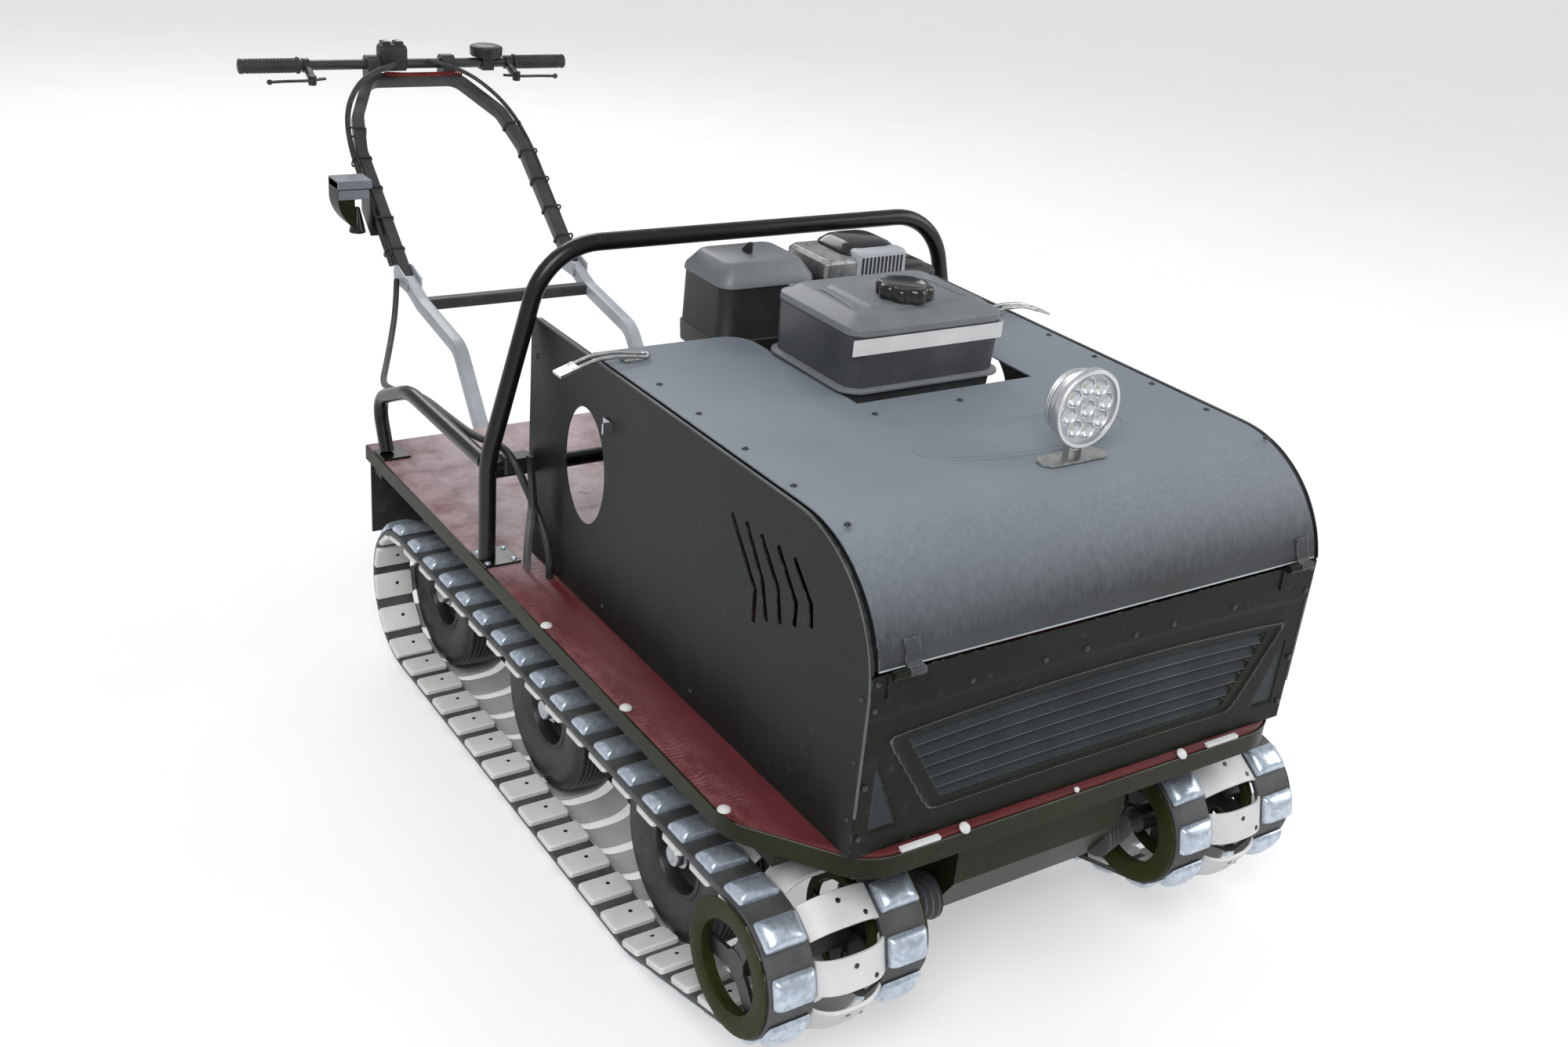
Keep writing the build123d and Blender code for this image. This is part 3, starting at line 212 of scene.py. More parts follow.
def plywood(name):
    """Film-faced plywood: maroon film with scuffs and painted pale glare at the rear, plies on its edges."""
    n = material_nodes(name)
    film = n.mix(n.ramp(n.noise(7, 6, 0.65, seed=2.0), 0.3, 0.75), (0.078, 0.010, 0.013, 1), (0.112, 0.017, 0.020, 1))
    across, back, height = (n.part_of(n.place(), axis) for axis in "XYZ")
    near_edge = n.ramp(n.math("ABSOLUTE", across), 0.405, 0.455)
    arcs = n.add(
        "ShaderNodeTexWave",
        {"Vector": n.place(), "Scale": 44.0, "Distortion": 6.0, "Detail": 1.0, "Detail Scale": 0.9},
        wave_type="RINGS",
    ).outputs["Fac"]
    patch = n.noise(9, 5, 0.6, (1, 0.5, 1), seed=6.0)
    scuff = n.times(n.ramp(arcs, 0.80, 0.98), n.ramp(patch, 0.44, 0.62))
    scuff = n.times(scuff, n.ramp(n.noise(24, 4, 0.6, seed=9.0), 0.46, 0.56))
    film = n.lay(film, (0.42, 0.20, 0.19, 1), scuff, n.plus(n.times(near_edge, 0.5), 0.02))
    haze = n.times(near_edge, n.ramp(n.noise(40, 8, 0.75, (1, 0.4, 1), seed=8.0), 0.42, 0.7))
    film = n.lay(film, (0.36, 0.14, 0.135, 1), haze, 0.5)
    # A ramp takes no place under 0, so the distance back is raised by 1 m.
    rear = n.plus(n.ragged(back, n.noise(6, 5, 0.6, seed=3.0), 0.12), 1.0)
    # Painted glare: a pale patch laid over the rear of the board stands in for the sky's reflection there.
    painted_glare = n.times(n.ramp(rear, 0.57, 0.68), 0.55)
    film = n.lay(film, (0.60, 0.49, 0.50, 1), painted_glare, n.ramp(n.noise(18, 6, 0.65, seed=4.0), 0.2, 0.6))
    film = n.lay(film, (0.46, 0.32, 0.30, 1), n.ramp(n.noise(320, 3, 0.6, seed=7.0), 0.66, 0.72), 0.3)
    ply = 1.5
    plies = n.math("FRACT", n.times(height, 1000 / ply))
    layers = n.mix(n.math("GREATER_THAN", plies, 0.5), (0.15, 0.035, 0.03, 1), (0.085, 0.018, 0.018, 1))
    normal = n.add("ShaderNodeNewGeometry").outputs["True Normal"]
    upward = n.math("ABSOLUTE", n.part_of(normal, "Z"))
    color = n.mix(n.math("GREATER_THAN", upward, 0.5), layers, film)
    rough = n.plus(n.times(scuff, 0.3), 0.34)
    normal = n.bump(n.noise(520, 2, 0.5), 0.15)
    return n.finish(Base_Color=color, Roughness=rough, Specular_IOR_Level=0.22, Normal=normal)


def coated(name):
    """The cover's fine-grained grey coat, with painted shade darkening it down its front curve, ragged in streaks, and
    a painted bluish sheen on top.
    """
    n = material_nodes(name)
    streak = n.noise(130, 3, 0.6, (1, 1, 0.12), seed=2.6)
    # Painted shade and sheen: the colour runs from near black low on the cover to a pale bluish grey on top, by height.
    low = n.ragged(n.part_of(n.place(), "Z"), streak, 0.05)
    color = n.mix(n.ramp(low, 0.672, 0.776), grey(0.014, 0.88, 1, 1.06), grey(0.215, 0.87, 1, 1.14))
    color = n.lay(color, grey(0.11, 0.86, 1, 1.16), n.ramp(n.noise(5, 4, 0.55, seed=1.7), 0.35, 0.7), 0.25)
    grain = n.noise(1100, 3, 0.7, seed=0.7)
    color = n.lay(color, grey(0.3, 0.95, 1, 1.06), n.ramp(grain, 0.35, 0.65), 0.14)
    scratch = n.noise(160, 3, 0.6, SCRATCH_STRETCH, seed=2.2)
    color = n.lay(color, grey(0.4), n.times(n.ramp(scratch, 0.45, 0.55), n.edges(0.002)), 0.7)
    return n.finish(Base_Color=color, Roughness=0.52, Specular_IOR_Level=0.4, Normal=n.bump(grain, 0.3))


def fading(name, low, high, bottom, top):
    """Paint worn to metal below a height, in metres."""
    n = material_nodes(name)
    share = n.ramp(n.ragged(n.part_of(n.place(), "Z"), n.noise(60, 4, 0.6), 0.06), low, high)
    streak = n.noise(300, 3, 0.6, (1, 1, 0.2))
    metal_part = n.times(n.math("SUBTRACT", 1.0, share), 0.8)
    rough = n.plus(n.times(streak, 0.2), 0.25)
    color = n.mix(share, bottom, top)
    return n.finish(Base_Color=color, Metallic=metal_part, Roughness=rough, Normal=n.bump(streak, 0.1, 0.0005))


def glass(name):
    """Clear lamp glass with fine ribs."""
    n = material_nodes(name)
    rib = n.add("ShaderNodeTexWave", {"Vector": n.place(), "Scale": 60.0}, wave_type="BANDS").outputs["Fac"]
    clear = (0.86, 0.89, 0.92, 1)
    return n.finish(Base_Color=clear, Roughness=0.06, Transmission_Weight=0.85, Normal=n.bump(rib, 0.1))


# Finishes by kind: darker and lighter tone and roughness, then paint's wear, gloss and bump or metal's spangle
# and share of metal.
FINISHES = {
    painted: {
        "frame_paint": (grey(0.005), grey(0.009), 0.26, 0.6, 0.38),
        "rim_paint": (grey(0.010), grey(0.022), 0.35, 0.5),
        "drum_white": (grey(0.62, 1, 1, 0.96), grey(0.78), 0.45),
        "black_plastic": (grey(0.010), grey(0.020), 0.45, 0, 0.5, 0.2),
        "panel_paint": (grey(0.0075, 1, 1.14, 0.8), grey(0.0125, 1, 1.16, 0.75), 0.46, 0.5, 0.13),
        "hinge_paint": (grey(0.010), grey(0.020), 0.38, 0.5),
        "engine_paint": (grey(0.018), grey(0.040, 1, 1, 1.05), 0.42, 0, 0.5, 0.2),
        "tank_paint": (grey(0.040, 0.95, 1, 1.08), grey(0.075, 0.95, 1, 1.08), 0.34),
        "handle_silver": (grey(0.30, 0.93, 1, 1.05), grey(0.46, 0.93, 1, 1.06), 0.34, 0.6),
        "handle_dark": (grey(0.022, 0.95, 1, 1.05), grey(0.045, 0.95, 1, 1.05), 0.40, 0.5),
        "lever_black": (grey(0.010), grey(0.022), 0.35, 0.4),
        "cap_grey": (grey(0.14, 0.94, 1, 1.07), grey(0.19, 0.94, 1, 1.07), 0.42, 0, 0.5, 0.25),
        "cap_light": (grey(0.34, 0.94, 1, 1.05), grey(0.5, 0.94, 1, 1.05), 0.35),
        "gloss_black": (grey(0.006), grey(0.012), 0.16, 0, 0.5, 0.1),
        "lamp_chip": ((0.75, 0.66, 0.28, 1), (0.85, 0.78, 0.4, 1), 0.35),
        "plate_zinc": (grey(0.72, 1, 1, 0.95), grey(0.86, 1, 1, 0.97), 0.42),
        "rim_olive": (grey(0.012, 1, 1.12, 0.45), grey(0.020, 1, 1.14, 0.4), 0.4, 0.5, 0.15),
        "side_paint": (grey(0.011, 0.94, 1.08, 1), grey(0.019, 0.94, 1.08, 1), 0.42, 0.5, 0.2, 0.2),
        # Painted sheen: a paler bluish copy of panel_paint for the formed panel's lit faces.
        "louvre_paint": (grey(0.024, 0.82, 1, 1.1), grey(0.040, 0.82, 1, 1.12), 0.42, 0, 0.2),
        # Painted highlight: a pale finish for edges that catch the light.
        "worn_edge": (grey(0.05, 1, 1, 0.95), grey(0.11, 1, 1, 0.95), 0.4, 0, 0.3),
        "side_lip": (grey(0.07, 0.95), grey(0.13, 0.95), 0.35, 0.5),
        "coil_red": ((0.22, 0.012, 0.01, 1), (0.34, 0.025, 0.018, 1), 0.35),
        "face_grey": (grey(0.17, 0.9, 1, 1.12), grey(0.25, 0.9, 1, 1.12), 0.3),
        "ring_paint": ((0.024, 0.026, 0.006, 1), (0.038, 0.040, 0.008, 1), 0.5, 0.5, 0.12),
    },
    rubber: {
        "track_rubber": (grey(0.045), grey(0.095), 0.55),
        "tyre_rubber": (grey(0.016, 0.9, 1, 1.1), grey(0.038, 0.9, 1, 1.12), 0.45),
        "grey_rubber": (grey(0.05, 1, 1.02, 1.08), grey(0.11, 1, 1.02, 1.08), 0.5),
        "grip_rubber": (grey(0.012), grey(0.03), 0.6),
        "cable_rubber": (grey(0.014), grey(0.03), 0.5),
        "flap_rubber": (grey(0.014), grey(0.035), 0.65),
    },
    metal: {
        "bare_steel": (grey(0.42, 0.95, 1, 1.08), grey(0.75, 0.97, 1, 1.05), 0.28),
        "lamp_silver": (grey(0.60), grey(0.82), 0.34, 900),
        "muffler_steel": (grey(0.25), grey(0.5), 0.42),
        "reflector": (grey(0.72), grey(0.92), 0.16, 500),
        "bail_metal": (grey(0.34, 1, 1, 0.97), grey(0.62, 1, 1, 0.98), 0.34),
        "clip_zinc": (grey(0.46, 0.84, 0.97, 1.14), grey(0.78, 0.9, 1, 1.1), 0.26, 140, 0.6),
    },
    plywood: {"plywood": ()},
    coated: {"cover_paint": ()},
    glass: {"lamp_glass": ()},
    fading: {"lever_fade": (0.455, 0.520, grey(0.36, 0.95, 1, 1.03), grey(0.012))},
}
MATERIALS = {
    name: make(name, *values) for make, finishes in FINISHES.items() for name, values in finishes.items()
}

# The finish of the CAD nodes that stay, where it isn't the node's slot in the record.
NODE_FINISH = {
    "hood_hinge_moving": "cover_paint", "hood_hinge_fixed": "panel_paint", "lamp_bracket": "bail_metal",
    "shift_lever": "lever_fade", "gear_case": "rim_olive", "side_panel_left": "side_paint",
    "side_panel_right": "side_paint",
}
slot_of = {part["node"]: part["material_slot"] for part in frame["record"]["subparts"]}
for node, thing in frame["nodes"].items():
    thing.data.materials.clear()
    thing.data.materials.append(MATERIALS[NODE_FINISH.get(node, slot_of[node])])


def link(thing):
    bpy.context.scene.collection.objects.link(thing)
    return thing


# Pale floor and soft light.
FLOOR = 30.0
floor_mesh = bpy.data.meshes.new("floor")
corners = [(-FLOOR, -FLOOR, 0), (FLOOR, -FLOOR, 0), (FLOOR, FLOOR, 0), (-FLOOR, FLOOR, 0)]
floor_mesh.from_pydata(corners, [], [(0, 1, 2, 3)])
floor = link(bpy.data.objects.new("floor", floor_mesh))
n = material_nodes("floor")
rays = n.add("ShaderNodeLightPath").outputs
seen = n.math("MAXIMUM", rays["Is Camera Ray"], rays["Is Glossy Ray"])
seen = n.math("MAXIMUM", seen, rays["Is Transmission Ray"])
tone = n.mix(n.ramp(n.noise(3, 3), 0.3, 0.7), grey(0.60), grey(0.63))
diffuse = n.add("ShaderNodeBsdfDiffuse", {"Color": tone}).outputs["BSDF"]
glow = n.add("ShaderNodeEmission", {"Color": grey(1), "Strength": n.times(seen, 0.42)}).outputs["Emission"]
both = n.add("ShaderNodeAddShader", {0: diffuse, 1: glow})
n.put(n.output.inputs["Surface"], both.outputs["Shader"])
floor_mesh.materials.append(n.holder)

world = bpy.data.worlds.new("world")
bpy.context.scene.world = world
n = Nodes(world, "ShaderNodeOutputWorld")
rays = n.add("ShaderNodeLightPath").outputs
seen = n.math("MAXIMUM", rays["Is Camera Ray"], rays["Is Transmission Ray"])
light, white = (
    n.add("ShaderNodeBackground", {"Color": color, "Strength": strength}).outputs["Background"]
    for color, strength in (((0.93, 0.96, 1.0, 1), 0.55), (grey(1), 1.0))
)
sky = n.add("ShaderNodeMixShader", {0: seen, 1: light, 2: white})
n.put(n.output.inputs["Surface"], sky.outputs["Shader"])

LIGHT_TARGET = Vector((0, 0, 0.5))
for name, place, size, power in (
    ("key", (-2.6, -3.4, 4.2), 2.4, 150),
    ("fill", (3.8, -2.2, 2.6), 2.6, 70),
    ("back", (0.8, 4.4, 3.8), 2.6, 90),
):
    data = bpy.data.lights.new(name, "AREA")
    data.shape = "SQUARE"
    data.size = size
    data.energy = power
    lamp = link(bpy.data.objects.new(name, data))
    lamp.location = place
    lamp.rotation_euler = (LIGHT_TARGET - Vector(place)).to_track_quat("-Z", "Y").to_euler()


# Mesh helpers. A part is (vertices, faces), in mm of the shared frame or of its own.
def skin(rings, around=False, closed=True, capped=True):
    """Faces from ring to ring of points; around joins the last ring to the first, closed closes each ring."""
    count = len(rings[0])
    faces = []
    for i in range(len(rings) if around else len(rings) - 1):
        j = (i + 1) % len(rings)
        for k in range(count if closed else count - 1):
            m = (k + 1) % count
            faces.append((i * count + k, i * count + m, j * count + m, j * count + k))
    if capped and not around:
        faces.append(tuple(range(count))[::-1])
        faces.append(tuple(range((len(rings) - 1) * count, len(rings) * count)))
    return [point for ring in rings for point in ring], faces


def prism(profile, low, high, place):
    """Extrudes a closed profile of (a, b) from low to high; place turns (a, b, c) into a vector."""
    return skin([[place(a, b, c) for a, b in profile] for c in (low, high)])


def side_on(back, up, x):
    return spot(x, back, up)


def front_on(x, up, back):
    return spot(x, back, up)


def block(low, high, place=lambda *point: Vector(point)):
    """A box between two corners."""
    profile = [(low[0], low[1]), (high[0], low[1]), (high[0], high[1]), (low[0], high[1])]
    return prism(profile, low[2], high[2], place)


def box(low, high):
    """A box between two corners given as spots."""
    return block(low, high, spot)


def lathe(profile, segments=48, closed=True):
    """Turns a profile of (along, radius) about the first axis."""
    turns = [2 * math.pi * step / segments for step in range(segments)]
    rings = [[Vector((a, r * math.cos(turn), r * math.sin(turn))) for a, r in profile] for turn in turns]
    return skin(rings, around=True, closed=closed)


def disc_stack(profile, segments=24):
    """A solid of revolution from (along, radius) rings, its ends closed by discs."""
    verts, faces = lathe(profile, segments, closed=False)
    count = len(profile)
    faces.append(tuple(step * count for step in range(segments)))
    faces.append(tuple(step * count + count - 1 for step in range(segments))[::-1])
    return verts, faces


def moved(part, matrix):
    return [matrix @ v for v in part[0]], part[1]


def turned(axis, place=(0, 0, 0)):
    """A matrix that takes the first axis to the given direction, at a place."""
    turn = Vector(axis).to_track_quat("X", "Z").to_matrix().to_4x4()
    return Matrix.Translation(place) @ turn


def discs_at(profile, segments, axis, place):
    return moved(disc_stack(profile, segments), turned(axis, place))


def dress(thing, material, body, node=None):
    """Gives a piece its finish and its body, and hides the CAD node that it takes the place of."""
    thing.data.materials.append(MATERIALS[material])
    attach(thing, body)
    if node:
        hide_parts(node)
    return thing


def shade(mesh, angle):
    """Smooth faces, with edges sharper than the angle kept sharp."""
    work = bmesh.new()
    work.from_mesh(mesh)
    bmesh.ops.recalc_face_normals(work, faces=work.faces)
    for face in work.faces:
        face.smooth = True
    for edge in work.edges:
        edge.smooth = len(edge.link_faces) == 2 and edge.calc_face_angle(0) <= math.radians(angle)
    work.to_mesh(mesh)
    work.free()


def piece(name, parts, material, body="chassis", node=None, bevel=0.0, angle=40, segments=2):
    """One object of the scene from parts in mm, riding on a body."""
    mesh = bpy.data.meshes.new(name)
    verts, faces = [], []
    for part_verts, part_faces in parts:
        start = len(verts)
        verts += [v / 1000 for v in part_verts]
        faces += [tuple(start + i for i in face) for face in part_faces]
    mesh.from_pydata(verts, [], faces)
    shade(mesh, angle)
    thing = link(bpy.data.objects.new(name, mesh))
    if bevel:
        rounding = thing.modifiers.new("rounding", "BEVEL")
        rounding.width = bevel / 1000
        rounding.segments = segments
        rounding.limit_method = "ANGLE"
        rounding.angle_limit = math.radians(35)
        rounding.harden_normals = True
    return dress(thing, material, body, node)


def rounded_path(points, radii, steps=8):
    """Points along straight runs with their corners rounded by arcs."""
    path = [points[0]]
    for before, corner, after, radius in zip(points, points[1:], points[2:], radii):
        back = (before - corner).normalized()
        ahead = (after - corner).normalized()
        half = back.angle(ahead) / 2
        reach = radius / math.tan(half)
        centre = corner + (back + ahead).normalized() * (radius / math.sin(half))
        start = corner + back * reach - centre
        end = corner + ahead * reach - centre
        sweep = start.angle(end)
        for step in range(steps + 1):
            share = step / steps
            bend = start * math.sin((1 - share) * sweep) + end * math.sin(share * sweep)
            path.append(centre + bend / math.sin(sweep))
    path.append(points[-1])
    return path


def route(points, radii, steps=8):
    return rounded_path([spot(*point) for point in points], radii, steps)


def curve_piece(name, kind, path, diameter, resolution, material, body, node):
    """A round tube or cable on a spline through or under places in mm."""
    curve = bpy.data.curves.new(name, "CURVE")
    curve.dimensions = "3D"
    curve.bevel_depth = diameter / 2000
    curve.bevel_resolution = resolution
    curve.use_fill_caps = True
    spline = curve.splines.new(kind)
    spline.points.add(len(path) - 1)
    for point, place in zip(spline.points, path):
        point.co = (*(place / 1000), 1)
    if kind == "NURBS":
        curve.resolution_u = 16
        spline.order_u = 3
        spline.use_endpoint_u = True
    else:
        spline.use_smooth = True
    return dress(link(bpy.data.objects.new(name, curve)), material, body, node)


def tube(name, path, diameter, material, body="chassis", node=None):
    return curve_piece(name, "POLY", path, diameter, 5, material, body, node)


def cable(name, points, diameter, body, node=None):
    """A round cable on a smooth spline whose control points are the given ones."""
    path = [spot(*point) for point in points]
    return curve_piece(name, "NURBS", path, diameter, 4, "cable_rubber", body, node)


def rounded_rect(cx, cy, half_x, half_y, corner, steps=6):
    """The corners of a rounded rectangle, the same count whatever its size."""
    points = []
    for quarter in range(4):
        turn = math.pi / 2 * quarter
        middle_x = cx + (half_x - corner) * (1 if quarter in (0, 3) else -1)
        middle_y = cy + (half_y - corner) * (1 if quarter in (0, 1) else -1)
        for step in range(steps + 1):
            angle = turn + math.pi / 2 * step / steps
            points.append((middle_x + corner * math.cos(angle), middle_y + corner * math.sin(angle)))
    return points


def loft(rings, place=spot):
    """A solid through rings of (height, outline), its two ends closed."""
    return skin([[place(x, y, height) for x, y in outline] for height, outline in rings])


def stack(centre, rows, steps=6, place=spot):
    """A solid through rounded rectangles: rows of (height, half x, half y, corner) and a shift back, if any."""
    return loft([
        (height, rounded_rect(centre[0], centre[1] + sum(shift), half_x, half_y, corner, steps))
        for height, half_x, half_y, corner, *shift in rows
    ], place)


def span_stack(rows):
    """A solid through rounded rectangles: rows of (height, low x, high x, low y, high y, corner)."""
    return loft([
        (height, rounded_rect((x0 + x1) / 2, (y0 + y1) / 2, (x1 - x0) / 2, (y1 - y0) / 2, corner))
        for height, x0, x1, y0, y1, corner in rows
    ])


def ease(value):
    value = min(max(value, 0.0), 1.0)
    return value * value * (3 - 2 * value)


def swept(path, section, side=(1, 0, 0), closed=False):
    """A solid of a section carried along a path without twist."""
    last = len(path) - 1
    tangents = []
    for i in range(len(path)):
        before = path[i - 1] if i or closed else path[i]
        after = path[(i + 1) % len(path)] if i < last or closed else path[i]
        tangents.append((after - before).normalized())
    across = Vector(side)
    rings = []
    for point, tangent, before in zip(path, tangents, [tangents[0], *tangents]):
        if rings:
            across = before.rotation_difference(tangent) @ across
        across = (across - tangent * across.dot(tangent)).normalized()
        up = tangent.cross(across)
        rings.append([point + across * a + up * b for a, b in section])
    return skin(rings, around=closed)


def circle(radius, steps=12):
    turns = [2 * math.pi * i / steps for i in range(steps)]
    return [(radius * math.cos(turn), radius * math.sin(turn)) for turn in turns]


def square(half, corner=2.5):
    return rounded_rect(0, 0, half, half, corner, 3)


def screw(place, out, radius=5.0, height=2.6):
    """A pan-head screw with a six-sided recess, facing out."""
    head = [(-1, radius), (0.3, radius), (height * 0.7, radius * 0.86), (height, radius * 0.55)]
    recess = [(height - 0.2, radius * 0.34), (height + 0.25, radius * 0.3)]
    return [discs_at(head, 14, out, place), discs_at(recess, 6, out, place)]


# Tracks: the belt line runs round the drum and the end wheels, as in the part.
DECK_HALF = 466.0
DECK_LENGTH = 1386.0
BAND_WIDTH = 68.0
BAND_GAP = 104.0
BAND_THICKNESS = 10.0
SHOE_COUNT = 42
SHOE_HALF = 24.0
BAR_BOW = 16.5
BAR_WALL = 6.0
AXLE_Z = -244.0
DRUM_Y, DRUM_Z = 97.0, -197.0
WHEEL_YS = (376.0, 801.0, 1232.0)
BELT_RADIUS = 130.0
DRUM = (Vector((DRUM_Y, DRUM_Z)), 95.0)
FRONT_WHEEL = (Vector((WHEEL_YS[0], AXLE_Z)), BELT_RADIUS)
REAR_WHEEL = (Vector((WHEEL_YS[-1], AXLE_Z)), BELT_RADIUS)
WHEEL_X = DECK_HALF - BAND_WIDTH - BAND_GAP / 2
SIDES = (1, -1)


def belt_runs():
    """The belt as runs: an arc's length, centre, radius and start, or a line's length and ends."""
    ring = [REAR_WHEEL, FRONT_WHEEL, DRUM, REAR_WHEEL, FRONT_WHEEL]
    normals = []
    for (a, ra), (b, rb) in zip(ring, ring[1:]):
        toward = (b - a).normalized()
        side = Vector((-toward.y, toward.x))
        cosine = (ra - rb) / (b - a).length
        normals.append(toward * cosine + side * math.sqrt(1 - cosine**2))
    runs = []
    for (centre, radius), (after, after_radius), come, go in zip(ring[1:], ring[2:], normals, normals[1:]):
        start = math.atan2(come.y, come.x)
        turn = (start - math.atan2(go.y, go.x)) % (2 * math.pi)
        if turn > 1e-6:
            runs.append(("arc", radius * turn, centre, radius, start))
        line_start = centre + go * radius
        line_end = after + go * after_radius
        runs.append(("line", (line_end - line_start).length, line_start, line_end))
    return runs


RUNS = belt_runs()
BELT_LENGTH = sum(run[1] for run in RUNS)


def belt_at(distance):
    """Point, direction and outward normal on the belt line, in (back, up) from the hood's front."""
    distance %= BELT_LENGTH
    for run in RUNS:
        if distance <= run[1]:
            break
        distance -= run[1]
    if run[0] == "arc":
        angle = run[4] - distance / run[3]
        out = Vector((math.cos(angle), math.sin(angle)))
        return run[2] + out * run[3], Vector((out.y, -out.x)), out
    along = (run[3] - run[2]).normalized()
    return run[2] + along * distance, along, Vector((-along.y, along.x))


def belt_matrix(distance, x):
    """Takes (across, along, out) of a shoe to the object's frame."""
    point, along, out = belt_at(distance)
    columns = (Vector((1, 0, 0)), Vector((0, along.x, along.y)), Vector((0, out.x, out.y)))
    return Matrix.Translation(spot(x, point.x, point.y)) @ Matrix(columns).transposed().to_4x4()


def band_part(x, low, high, steps=336):
    """One rubber band between two places across the track, with softly rounded edges."""
    edge = 2.0
    inner, outer = edge - BAND_THICKNESS, -edge
    section = (
        (low, inner), (low, outer), (low + edge, 0), (high - edge, 0), (high, outer), (high, inner),
        (high - edge, -BAND_THICKNESS), (low + edge, -BAND_THICKNESS),
    )
    frames = [belt_matrix(BELT_LENGTH * step / steps, x) for step in range(steps)]
    return skin([[matrix @ Vector((u, 0, w)) for u, w in section] for matrix in frames], around=True)


half_gap = BAND_GAP / 2


def bow(u):
    return BAR_BOW * (1 - abs(u / half_gap) ** 3.0)


def on_shoe(x, y, height):
    return Vector((x, y, height))


bar_steps = [half_gap * (2 * i / 16 - 1) for i in range(17)]
bar_profile = [(u, bow(u)) for u in bar_steps] + [(u, bow(u) - BAR_WALL) for u in reversed(bar_steps)]
bar_part = prism(bar_profile, -SHOE_HALF, SHOE_HALF, lambda a, b, c: Vector((a, c, b)))
# Painted shade for holes: the holes are not cut, and dark discs standing a little proud of the bars, lugs and plates
# take their place.
dark_hole_disc = [(-1.0, 3.6), (0.6, 3.6), (0.9, 2.6)]
hole_shade_parts = [discs_at(dark_hole_disc, 12, (0, 0, 1), (u, v, bow(u))) for u, v in ((-3, 10), (28, -14))]
lug_parts, plate_parts = [], []
LUG_RINGS = (
    (0.1, 30, 21, 4), (5.0, 29.5, 20.5, 5, -0.5), (10.5, 25, 17, 6, -2), (14.0, 17, 11, 6, -4.5),
    (15.4, 8, 5.5, 4, -6),
)
PLATE_RINGS = (
    (-BAND_THICKNESS - 0.1, 34.6, 23.5, 5), (-BAND_THICKNESS - 6.5, 34.6, 23.5, 5),
    (-BAND_THICKNESS - 8.6, 32.8, 21.7, 4.5), (-BAND_THICKNESS - 9.2, 29, 18, 4),
)
for side in SIDES:
    middle = side * (half_gap + BAND_WIDTH / 2)
    lug_parts.append(stack((middle, 0), LUG_RINGS, 4, on_shoe))
    plate_parts.append(stack((middle + 1.2 * side, 0), PLATE_RINGS, 4, on_shoe))
    hole_shade_parts += [
        discs_at([(-1, 3.2), (0.4, 3.2), (0.6, 2.4)], 12, (0, 0, 1), (middle - side * 15, -4, 12.6)),
        discs_at([(-1, 3.3), (0.25, 3.3), (0.4, 2.6)], 12, (0, 0, -1), (middle + 4, -3, PLATE_RINGS[-1][0])),
    ]

for side, sign in (("left", 1), ("right", -1)):
    x = sign * WHEEL_X
    low, high = half_gap, half_gap + BAND_WIDTH
    frames = [belt_matrix(BELT_LENGTH * (number + 0.5) / SHOE_COUNT, x) for number in range(SHOE_COUNT)]
    bands = [band_part(x, low, high), band_part(x, -high, -low)]
    piece(f"bands_{side}", bands, "track_rubber", node=f"track_{side}")
    for name, parts, finish, bevel, angle in (
        ("crossbars", [bar_part], "drum_white", 1.4, 40),
        ("shoe_hole_shade", hole_shade_parts, "rim_paint", 0, 40),
        ("lugs", lug_parts, "clip_zinc", 0, 75),
        ("inner_plates", plate_parts, "plate_zinc", 0, 35),
    ):
        stamped = [moved(part, matrix) for matrix in frames for part in parts]
        piece(f"{name}_{side}", stamped, finish, bevel=bevel, angle=angle)

# Deck: the film-faced board in an olive steel rim, its front corners rounded.
DECK_FRONT = -11.0
RIM_WALL = 3.5
RIM_LEG = 40.0
BOARD_BOTTOM = -14.9
RAIL_BOTTOM = -55.0


def deck_line(inset):
    """The deck's outline from one rear corner round the front to the other, seen from above."""
    half, front = DECK_HALF - inset, DECK_FRONT + inset
    corners = [(half, DECK_LENGTH), (half, 128), (348, front), (-348, front), (-half, 128), (-half, DECK_LENGTH)]
    line = rounded_path([Vector((x, y, 0)) for x, y in corners], (90, 90, 90, 90), 10)
    return [(point.x, point.y) for point in line]


board = loft([(-14.8, deck_line(RIM_WALL)), (-1, deck_line(RIM_WALL)), (0, deck_line(RIM_WALL + 1))])
piece("deck_film", [board], "plywood", node="deck_board", angle=60)
outside, inside, leg = deck_line(0), deck_line(RIM_WALL), deck_line(RIM_LEG)
SIDE_RIM, FRONT_RIM = (-0.4, -27.0), (-6.0, -36.0)


def rim_height(x, edge):
    """Height of the rim's upper (0) or lower (1) edge, which is lower at the front than at the sides."""
    return FRONT_RIM[edge] + (SIDE_RIM[edge] - FRONT_RIM[edge]) * ease((abs(x) - 352) / 100)


rim_rings = []
for index, (x, y) in enumerate(outside):
    top, bottom = rim_height(x, 0), rim_height(x, 1)
    ring = [(outside, bottom), (outside, top), (inside, top), (inside, bottom + 4), (leg, bottom + 4), (leg, bottom)]
    rim_rings.append([spot(*outline[index], z) for outline, z in ring])
RAILS = [(424, y, y + 60) for y in (330, 780, 1180)] + [(300, 24, 64), (452, 1346, 1385.5)]
rails = [box((-half, start, RAIL_BOTTOM), (half, end, BOARD_BOTTOM)) for half, start, end in RAILS]
rails += [box((sign * 402 - 20, 90, RAIL_BOTTOM), (sign * 402 + 20, 1346, BOARD_BOTTOM)) for sign in SIDES]
piece("deck_rim", [skin(rim_rings), *rails], "rim_olive", node="deck_frame", bevel=0.6, angle=35)
